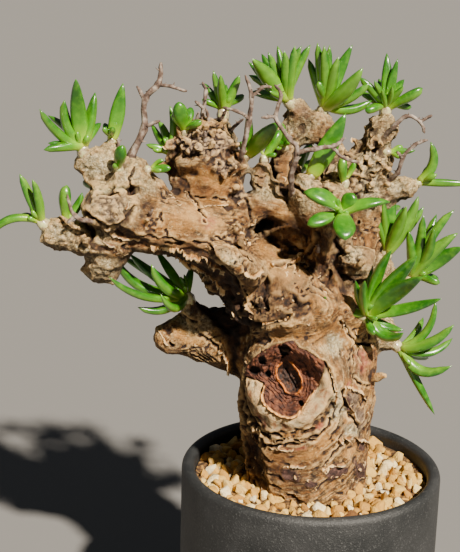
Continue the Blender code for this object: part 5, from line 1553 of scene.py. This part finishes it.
# Dry flower stalks of past years: twigs of points with a radius, all in millimetres
stalks = {
    "left": [
        [
            (-82, -18, 243, 2.2), (-83, -18, 250, 2.1), (-78, -17, 262, 1.7), (-77.5, -17, 275, 1.5),
            (-72, -17, 281, 1.4), (-71, -17, 290, 1.1),
        ],
        [(-77.5, -17, 274, 1.1), (-81, -18, 280, 0.8)],
        [(-72, -17, 281, 1.0), (-66, -18, 280, 0.8), (-60, -18, 278.5, 0.8)],
        [(-78, -17, 263, 1.0), (-71, -19, 266, 0.8)],
    ],
    "knob": [
        [(-54, -4, 258, 1.3), (-53.5, -6, 267, 1.1), (-52.5, -6, 277, 0.9), (-54, -6, 281, 0.8)],
        [(-53.5, -6, 270, 0.9), (-57, -7, 273, 0.8)],
    ],
    "mid": [
        [
            (-38, -8, 246, 1.5), (-36, -16, 254, 1.3), (-34, -19, 266, 1.2), (-33, -19, 277, 1.0),
            (-36, -19, 286, 0.8),
        ],
        [(-34, -19, 268, 1.0), (-39, -20, 271, 0.8), (-45, -20, 272.5, 0.8)],
        [(-33, -19, 277, 0.9), (-29, -20, 281, 0.8), (-25, -20, 281.5, 0.8)],
    ],
    "front": [
        [
            (-14, -12, 234, 1.5), (-15.5, -20, 243, 1.4), (-13.5, -24, 256, 1.3), (-17, -25, 261, 1.1),
            (-23, -25, 270, 1.0), (-21, -25, 279, 0.9), (-24, -25, 283, 0.8),
        ],
        [(-23, -25, 270, 0.9), (-29, -26, 269.5, 0.8)],
        [(-13.5, -24, 255, 1.2), (-6, -24, 257, 1.1), (2, -23, 258, 1.0), (6, -22, 261.5, 0.8)],
        [(1, -23, 258, 0.9), (6, -22, 253, 0.8), (13, -21, 251, 0.8)],
    ],
    "right": [
        [(25, 6, 257, 1.4), (29, 1, 263, 1.2), (34, 0, 268, 1.0), (40, -1, 266, 0.9), (42.5, -1, 261, 0.8)],
        [(40, -1, 266, 0.8), (45, -2, 269, 0.8)],
    ],
    "right_side": [
        [
            (28, 4, 238, 1.3), (32, 0, 243, 1.1), (33.5, -2, 250, 1.0), (38, -3, 256, 0.9),
            (43.5, -4, 258.5, 0.8),
        ],
        [(33.5, -2, 250, 0.9), (30.5, -3, 253, 0.8)],
    ],
    "far_left": [
        [(-92, -22, 222, 1.4), (-97, -33, 225, 1.2), (-105, -35, 228, 1.0), (-108, -35, 237, 0.8)],
        [(-105, -35, 228, 0.9), (-108, -36, 225, 0.8)],
    ],
}

# Short dead spurs on the old wood: the pixel of the photograph where each stands, its length and clock angle
spurs = [
    (166, 140, 5.5, -40), (171, 131, 6.0, -25), (178, 128, 5.0, 10), (186, 124, 6.5, -8),
    (196, 122, 5.0, 25), (209, 121, 6.0, -15), (222, 118, 5.5, 20), (233, 128, 6.5, 40),
    (241, 142, 6.0, 62), (244, 152, 5.0, 75), (163, 152, 5.0, -70), (205, 140, 4.5, 5),
    (118, 148, 5.0, -20), (150, 216, 4.0, 20), (352, 128, 4.5, -50), (350, 160, 4.0, -80),
    (372, 206, 4.0, 60), (318, 250, 3.5, 30), (256, 148, 4.5, -30), (345, 142, 4.5, -60),
]

stalkShape = {
    "thinner": 0.86,
    "sides": 8,
    "steps": 5,
    "kink": 0.2,
    "knot": 0.35,
    "tip": 0.35,
    "ripple": 0.12,
    "uneven": 0.08,
    "thornEvery": 3,
    "thornSides": 5,
    "thornLength": 1.7,
    "seed": 5,
}


def kinkedTwig(draw, twig):
    # a twig's path, shaken a little, with a knot where each of its points was
    path = curveThrough(twig, stalkShape["steps"])
    last = len(path) - 1
    made = []
    for i, (x, y, z, radius) in enumerate(path):
        knot = 1 + stalkShape["knot"] * (i % stalkShape["steps"] == 0)
        knot += draw.uniform(-stalkShape["uneven"], stalkShape["uneven"])
        shake = [draw.uniform(-1, 1) * stalkShape["kink"] for _ in range(3)] if 0 < i < last else [0, 0, 0]
        radius = radius * stalkShape["thinner"] * knot * (stalkShape["tip"] if i == last else 1)
        made.append((x + shake[0], y + shake[1], z + shake[2], radius))
    return made


def thornOn(draw, row):
    # a short thorn that stands out of one point of a twig
    *foot, radius = row
    foot = Vector(foot)
    out = Vector((draw.uniform(-1, 1), draw.uniform(-1, 1), draw.uniform(-0.2, 0.8))).normalized()
    length = stalkShape["thornLength"] * draw.uniform(0.5, 1.2)
    middle, tip = foot + out * length * 0.6, foot + out * (length + radius)
    return [(*foot, radius * 0.6), (*middle, radius * 0.35), (*tip, 0.06)]


def tubeRing(path, i, sides):
    # the points round one row of a path
    centre = Vector(path[i][:3])
    tangent = (Vector(path[min(i + 1, len(path) - 1)][:3]) - Vector(path[max(i - 1, 0)][:3])).normalized()
    side = tangent.cross(Vector((0.2, 0.95, 0.24))).normalized()
    other = side.cross(tangent)
    ring = []
    for k in range(sides):
        turn = 2 * math.pi * k / sides
        ripple = 1 + stalkShape["ripple"] * math.cos(3 * turn + i)
        ring.append((centre + (side * math.cos(turn) + other * math.sin(turn)) * path[i][3] * ripple) * mm)
    return ring


def makeStalk(name, twigs, finish, *replaced):
    draw = random.Random(stalkShape["seed"] + len(name))
    tubes = []
    for twig in twigs:
        path = kinkedTwig(draw, twig)
        tubes.append((path, stalkShape["sides"]))
        for row in path[2 : len(path) - 1 : stalkShape["thornEvery"]]:
            tubes.append((thornOn(draw, row), stalkShape["thornSides"]))
    points, faces = [], []
    for path, sides in tubes:
        faces += wrapFaces(len(path), sides, len(points), capped=True)
        for i in range(len(path)):
            points += tubeRing(path, i, sides)
    mesh = meshFrom("dry_stalk_" + name, points, faces, turnOut=True)
    newPiece(camel("dry", "stalk", *name.split("_")), mesh, finish, "dry_stalk", *replaced)


def spurTwigs():
    twigs = []
    for px, py, length, clock in spurs:
        point, normal = seenAt(px, py)
        if point:
            way = (normal * 0.5 + direction(clock, 12)).normalized()
            twigs.append([(*(point / mm + way * length * s), 1.0 - 0.5 * s) for s in (-0.2, 0.5, 1.0)])
    return twigs


def stalkMaterial():
    # dead flower stalk: weathered grey outside, brown where the skin has flaked off
    dry = Finish("weathered dry stalk", Roughness=0.8)
    dry.draw({"flaked": (2.5, 4, 0.5, 0), "fibres": (0.6, 4, 0.5, 0)})
    dry.coat(("flaked", (0.32, "#33261f"), (0.46, "#604c40"), (0.58, "#87786c"), (0.72, "#aa9d90")))
    return dry.done(("fibres", 0.6, 0.3))


stalkFinish = stalkMaterial()
for stalkName, stalkTwigs in stalks.items():
    makeStalk(stalkName, stalkTwigs, stalkFinish, "dry_stalk_" + stalkName)
makeStalk("spurs", spurTwigs(), stalkFinish)
print("stalks done")


# Grit: loose angular stones over the potting mix, in two layers
grit = {
    "inner": 27.0,
    "outer": 50.6,
    "around": 72,
    "across": 6,
    "rise": 1.2,
    "layers": [(97.6, 3.6, 7.2, 3), (99.4, 5.2, 8.4, 9)],  # height, spacing, size of a stone, seed
    "sizeSpread": 0.38,
    "density": 200000.0,
    "variants": 9,
    "corners": 13,
    "wear": 0.055,
    "turn": (6.283, 6.283, 6.283),  # up to a whole turn about each axis
    "seed": 31,
}


def stoneShapes():
    # angular stones: the hull of a few points near a ball, with its edges worn
    draw = random.Random(grit["seed"])
    made = []
    for i in range(grit["variants"]):
        bm = bmesh.new()
        squash = (1, draw.uniform(0.7, 0.95), draw.uniform(0.55, 0.85))
        for _ in range(grit["corners"]):
            spot = Vector((draw.gauss(0, 1), draw.gauss(0, 1), draw.gauss(0, 1))).normalized()
            spot *= draw.uniform(0.42, 0.54)
            bm.verts.new([a * b for a, b in zip(spot, squash)])
        bmesh.ops.convex_hull(bm, input=bm.verts)
        bmesh.ops.delete(bm, geom=[v for v in bm.verts if not v.link_faces], context="VERTS")
        wear = {"offset": grit["wear"], "segments": 1, "affect": "EDGES", "clamp_overlap": True}
        bmesh.ops.bevel(bm, geom=bm.edges, **wear)
        bmesh.ops.recalc_face_normals(bm, faces=bm.faces)
        mesh = bpy.data.meshes.new(f"stone{i + 1}")
        bm.to_mesh(mesh)
        bm.free()
        made.append(mesh)
    return made


def scatterTree(name, shapes, finish):
    # Geometry Nodes: stands one of the shapes on points spread evenly over a surface
    tree = bpy.data.node_groups.new(name, "GeometryNodeTree")
    tree.is_modifier = True
    tree.interface.new_socket("Geometry", in_out="INPUT", socket_type="NodeSocketGeometry")
    sockets = {}
    for label, kind in (("Spacing", "Float"), ("Size", "Float"), ("Size Spread", "Float"), ("Seed", "Int")):
        socket = tree.interface.new_socket(label, in_out="INPUT", socket_type="NodeSocket" + kind)
        sockets[label] = socket.identifier
    tree.interface.new_socket("Geometry", in_out="OUTPUT", socket_type="NodeSocketGeometry")
    given = addNode(tree, "NodeGroupInput").outputs
    links = {"Mesh": given["Geometry"], "Distance Min": given["Spacing"], "Seed": given["Seed"]}
    links["Density Max"] = grit["density"]
    spread = addNode(tree, "GeometryNodeDistributePointsOnFaces", links, distribute_method="POISSON")
    group = bpy.data.collections.new(name)
    for mesh in shapes:
        group.objects.link(bpy.data.objects.new(mesh.name, mesh))
    links = {"Collection": group, "Separate Children": True, "Reset Children": True}
    source = addNode(tree, "GeometryNodeCollectionInfo", links)
    low = addNode(tree, "ShaderNodeMath", {0: 1.0, 1: given["Size Spread"]}, operation="SUBTRACT").outputs[0]
    high = addNode(tree, "ShaderNodeMath", {0: 1.0, 1: given["Size Spread"]}, operation="ADD").outputs[0]
    spreadSize = addNode(tree, "FunctionNodeRandomValue", {2: low, 3: high, "Seed": 3}, data_type="FLOAT")
    links = {0: spreadSize.outputs[1], 1: given["Size"]}
    scale = addNode(tree, "ShaderNodeMath", links, operation="MULTIPLY").outputs[0]
    links = {1: grit["turn"], "Seed": 5}
    turn = addNode(tree, "FunctionNodeRandomValue", links, data_type="FLOAT_VECTOR").outputs[0]
    links = {"Points": spread.outputs["Points"], "Instance": source.outputs[0], "Pick Instance": True}
    links.update({"Rotation": turn, "Scale": scale})
    stand = addNode(tree, "GeometryNodeInstanceOnPoints", links).outputs[0]
    tone = addNode(tree, "FunctionNodeRandomValue", {"Seed": 8}, data_type="FLOAT").outputs[1]
    links = {"Geometry": stand, "Name": "tone", "Value": tone}
    kept = addNode(tree, "GeometryNodeStoreNamedAttribute", links, data_type="FLOAT", domain="INSTANCE")
    real = addNode(tree, "GeometryNodeRealizeInstances", {"Geometry": kept.outputs[0]}).outputs[0]
    dressed = addNode(tree, "GeometryNodeSetMaterial", {"Geometry": real, "Material": finish}).outputs[0]
    addNode(tree, "NodeGroupOutput", {"Geometry": dressed})
    return tree, sockets


def gritGround(name, height):
    # the gently uneven ring of ground that a layer of stones lies on
    around, across = grit["around"], grit["across"]
    points = []
    for i in range(across + 1):
        radius = grit["inner"] + (grit["outer"] - grit["inner"]) * i / across
        for k in range(around):
            turn = 2 * math.pi * k / around
            x, y = radius * math.cos(turn), radius * math.sin(turn)
            rise = grit["rise"] * noise.noise(Vector((x / 14, y / 14, 2.3)))
            points.append(Vector((x, y, height + rise)) * mm)
    return placed(name, meshFrom(name, points, wrapFaces(across + 1, around)))


def makeGrit():
    finish = gritMaterial()
    tree, sockets = scatterTree("scatteredGrit", stoneShapes(), finish)
    for i, (height, spacing, size, seed) in enumerate(grit["layers"]):
        piece = gritGround(f"gritGround{i + 1}", height)
        grow = piece.modifiers.new("grow", "NODES")
        grow.node_group = tree
        values = {"Spacing": spacing * mm, "Size": size * mm, "Size Spread": grit["sizeSpread"], "Seed": seed}
        for label, value in values.items():
            grow[sockets[label]] = value
        mesh = settled(piece)
        mesh.set_sharp_from_angle(angle=math.radians(60))
        newPiece(f"gritStones{i + 1}", mesh, finish, "grit")
        print("grit layer", i + 1, "faces", len(mesh.polygons))


def gritMaterial():
    # fired clay granules: dry, porous, tan with cream and rusty ones among them
    clay = Finish("dry fired clay grit", Roughness=0.88)
    clay.read("tone")
    clay.draw({"stains": (1.6, 5, 0.65, 0), "pores": (0.7, 5, 0.5, 0)})
    browns = [(0.0, "#5f3a1c"), (0.06, "#b07f34"), (0.3, "#c2923f")]
    creams = [(0.6, "#d3ac58"), (0.84, "#dfc27c"), (0.97, "#eddcb0")]
    clay.coat(("tone", *browns, *creams))
    clay.coat("#8f5f24", ("stains", 0.52, 0.72, 0.6))
    return clay.done(("pores", 0.9, 0.8))


def mixMaterial():
    # the finer, damper mix between and under the stones
    damp = Finish("damp potting mix", Roughness=0.95)
    damp.draw({"grains": (1.8, 6, 0.5, 0)})
    damp.coat(("grains", (0.34, "#21140b"), (0.5, "#52381c"), (0.66, "#98723a")))
    return damp.done(("grains", 0.8, 1))


makeGrit()
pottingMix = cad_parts["potting_mix"]
pottingMix.data.materials.clear()
pottingMix.data.materials.append(mixMaterial())
print("grit done")


# Pot: turned stoneware, plain and dark, with a rounded lip
pot = {
    "radius": 60.0,
    "height": 105.0,
    "wall": 6.0,
    "floor": 8.0,
    "foot": 3.0,
    "cove": 4.0,
    "segments": 144,
    "drains": 3,
    "drainRadius": 5.0,
    "drainCircle": 26.0,
}


def potProfile():
    # radius and height of each ring, from the middle of the base over the lip to the middle of the floor
    outer, inner, foot, lip = pot["radius"], pot["radius"] - pot["wall"], pot["foot"], pot["wall"] / 2
    profile = [(0, 0), (outer - foot, 0)]
    for step in range(1, 7):
        turn = math.radians(-90 + 15 * step)
        profile.append((outer - foot + foot * math.cos(turn), foot + foot * math.sin(turn)))
    profile += [(outer, 20), (outer, 45), (outer, 70), (outer, 90)]
    for step in range(13):
        turn = math.radians(15 * step)
        profile.append((outer - lip + lip * math.cos(turn), pot["height"] - lip + lip * math.sin(turn)))
    profile += [(inner, 60), (inner, pot["floor"] + pot["cove"]), (inner - 3, pot["floor"])]
    return profile + [(0, pot["floor"])]


def makePot():
    bm = bmesh.new()
    turns = [2 * math.pi * k / pot["segments"] for k in range(pot["segments"])]
    rings = []
    for radius, height in potProfile():
        ring = [(radius * mm * math.cos(t), radius * mm * math.sin(t), height * mm) for t in turns]
        rings.append([bm.verts.new(spot) for spot in (ring if radius else ring[:1])])
    for low, high in zip(rings, rings[1:]):
        for k in range(pot["segments"]):
            n = (k + 1) % pot["segments"]
            ring = [low[k % len(low)], low[n % len(low)], high[n % len(high)], high[k % len(high)]]
            bm.faces.new(list(dict.fromkeys(ring)))
    bmesh.ops.recalc_face_normals(bm, faces=bm.faces)
    mesh = bpy.data.meshes.new("pot")
    bm.to_mesh(mesh)
    bm.free()
    piece = placed("potWhole", mesh)
    cutters = []
    for hole in range(pot["drains"]):
        turn = 2 * math.pi * (hole + 0.25) / pot["drains"]
        bm = bmesh.new()
        size = {"radius1": pot["drainRadius"] * mm, "radius2": pot["drainRadius"] * mm, "depth": 30 * mm}
        bmesh.ops.create_cone(bm, cap_ends=True, segments=32, **size)
        shift = Vector((math.cos(turn), math.sin(turn), 0)) * pot["drainCircle"] * mm
        bmesh.ops.translate(bm, verts=bm.verts, vec=shift)
        hollow = bpy.data.meshes.new("drain")
        bm.to_mesh(hollow)
        bm.free()
        cutters.append(placed("drain", hollow))
        cut = piece.modifiers.new("drain", "BOOLEAN")
        cut.object = cutters[-1]
        cut.operation = "DIFFERENCE"
        cut.solver = "EXACT"
    made = settled(piece)
    for cutter in cutters:
        bpy.data.objects.remove(cutter)
    made.set_sharp_from_angle(angle=math.radians(40))
    return made


def potMaterial():
    # unglazed dark stoneware: satin, faintly grainy, a little worn
    stoneware = Finish("dark unglazed stoneware")
    stoneware.draw({"clouds": (26, 6, 0.6, 0), "grains": (0.9, 3, 0.7, 0)})
    stoneware.coat(("clouds", (0.35, "#1f2122"), (0.55, "#2b2c2d"), (0.75, "#3a3b3c")))
    stoneware.coat("#6c6d6d", ("grains", 0.58, 0.70, 0.5))
    shine = stoneware.share(("clouds", 0.3, 0.7, 0.6, 0.42))
    stoneware.tree.links.new(shine, stoneware.shader.inputs["Roughness"])
    return stoneware.done(("grains", 0.7, 0.6))


newPiece("pot", makePot(), potMaterial(), "pot", "pot")
print("pot done")


# Floor, light and camera
stage = {
    "floorReach": 9,
    "floor": "#757473",
    "clock": 31,  # the lamp's angle round from the viewer, and up, in degrees
    "height": 41,
    "strength": 11.6,
    "softness": 2.6,
    "colour": "#fff4e2",
    "sky": 0.11,
    "skyColour": "#dfe5ee",
}


def makeFloor():
    # painted board, matt and without any mark, so that nothing takes the eye from the plant
    far = stage["floorReach"]
    corners = [(-far, -far, 0), (far, -far, 0), (far, far, 0), (-far, far, 0)]
    floor = meshFrom("floor", corners, [(0, 1, 2, 3)])
    finish = Finish("matt pale studio floor", Roughness=0.9, Base_Color=linear(stage["floor"]))
    floor.materials.append(finish.material)
    placed("floor", floor)


def makeLights():
    # one large lamp far off to the right and above, as in the photograph, and a pale sky all round
    turn, rise = math.radians(stage["clock"]), math.radians(stage["height"])
    way = Vector((math.sin(turn) * math.cos(rise), -math.cos(turn) * math.cos(rise), math.sin(rise)))
    lamp = bpy.data.lights.new("key", "SUN")
    lamp.energy = stage["strength"]
    lamp.angle = math.radians(stage["softness"])
    lamp.color = linear(stage["colour"])[:3]
    holder = placed("key", lamp)
    holder.location = way * 2
    holder.rotation_euler = way.to_track_quat("Z", "Y").to_euler()
    world = bpy.data.worlds.new("studio")
    bpy.context.scene.world = world
    world.use_nodes = True
    sky = world.node_tree.nodes["Background"]
    sky.inputs["Color"].default_value = linear(stage["skyColour"])
    sky.inputs["Strength"].default_value = stage["sky"]


def makeCamera():
    lens = bpy.data.cameras.new("camera")
    lens.sensor_width = 36
    lens.lens = view["focalPixels"] / view["height"] * lens.sensor_width
    lens.clip_start = 0.01
    holder = placed("camera", lens)
    holder.location = view["place"]
    holder.rotation_euler = cameraTurn().to_euler()
    bpy.context.scene.camera = holder


makeFloor()
makeLights()
makeCamera()
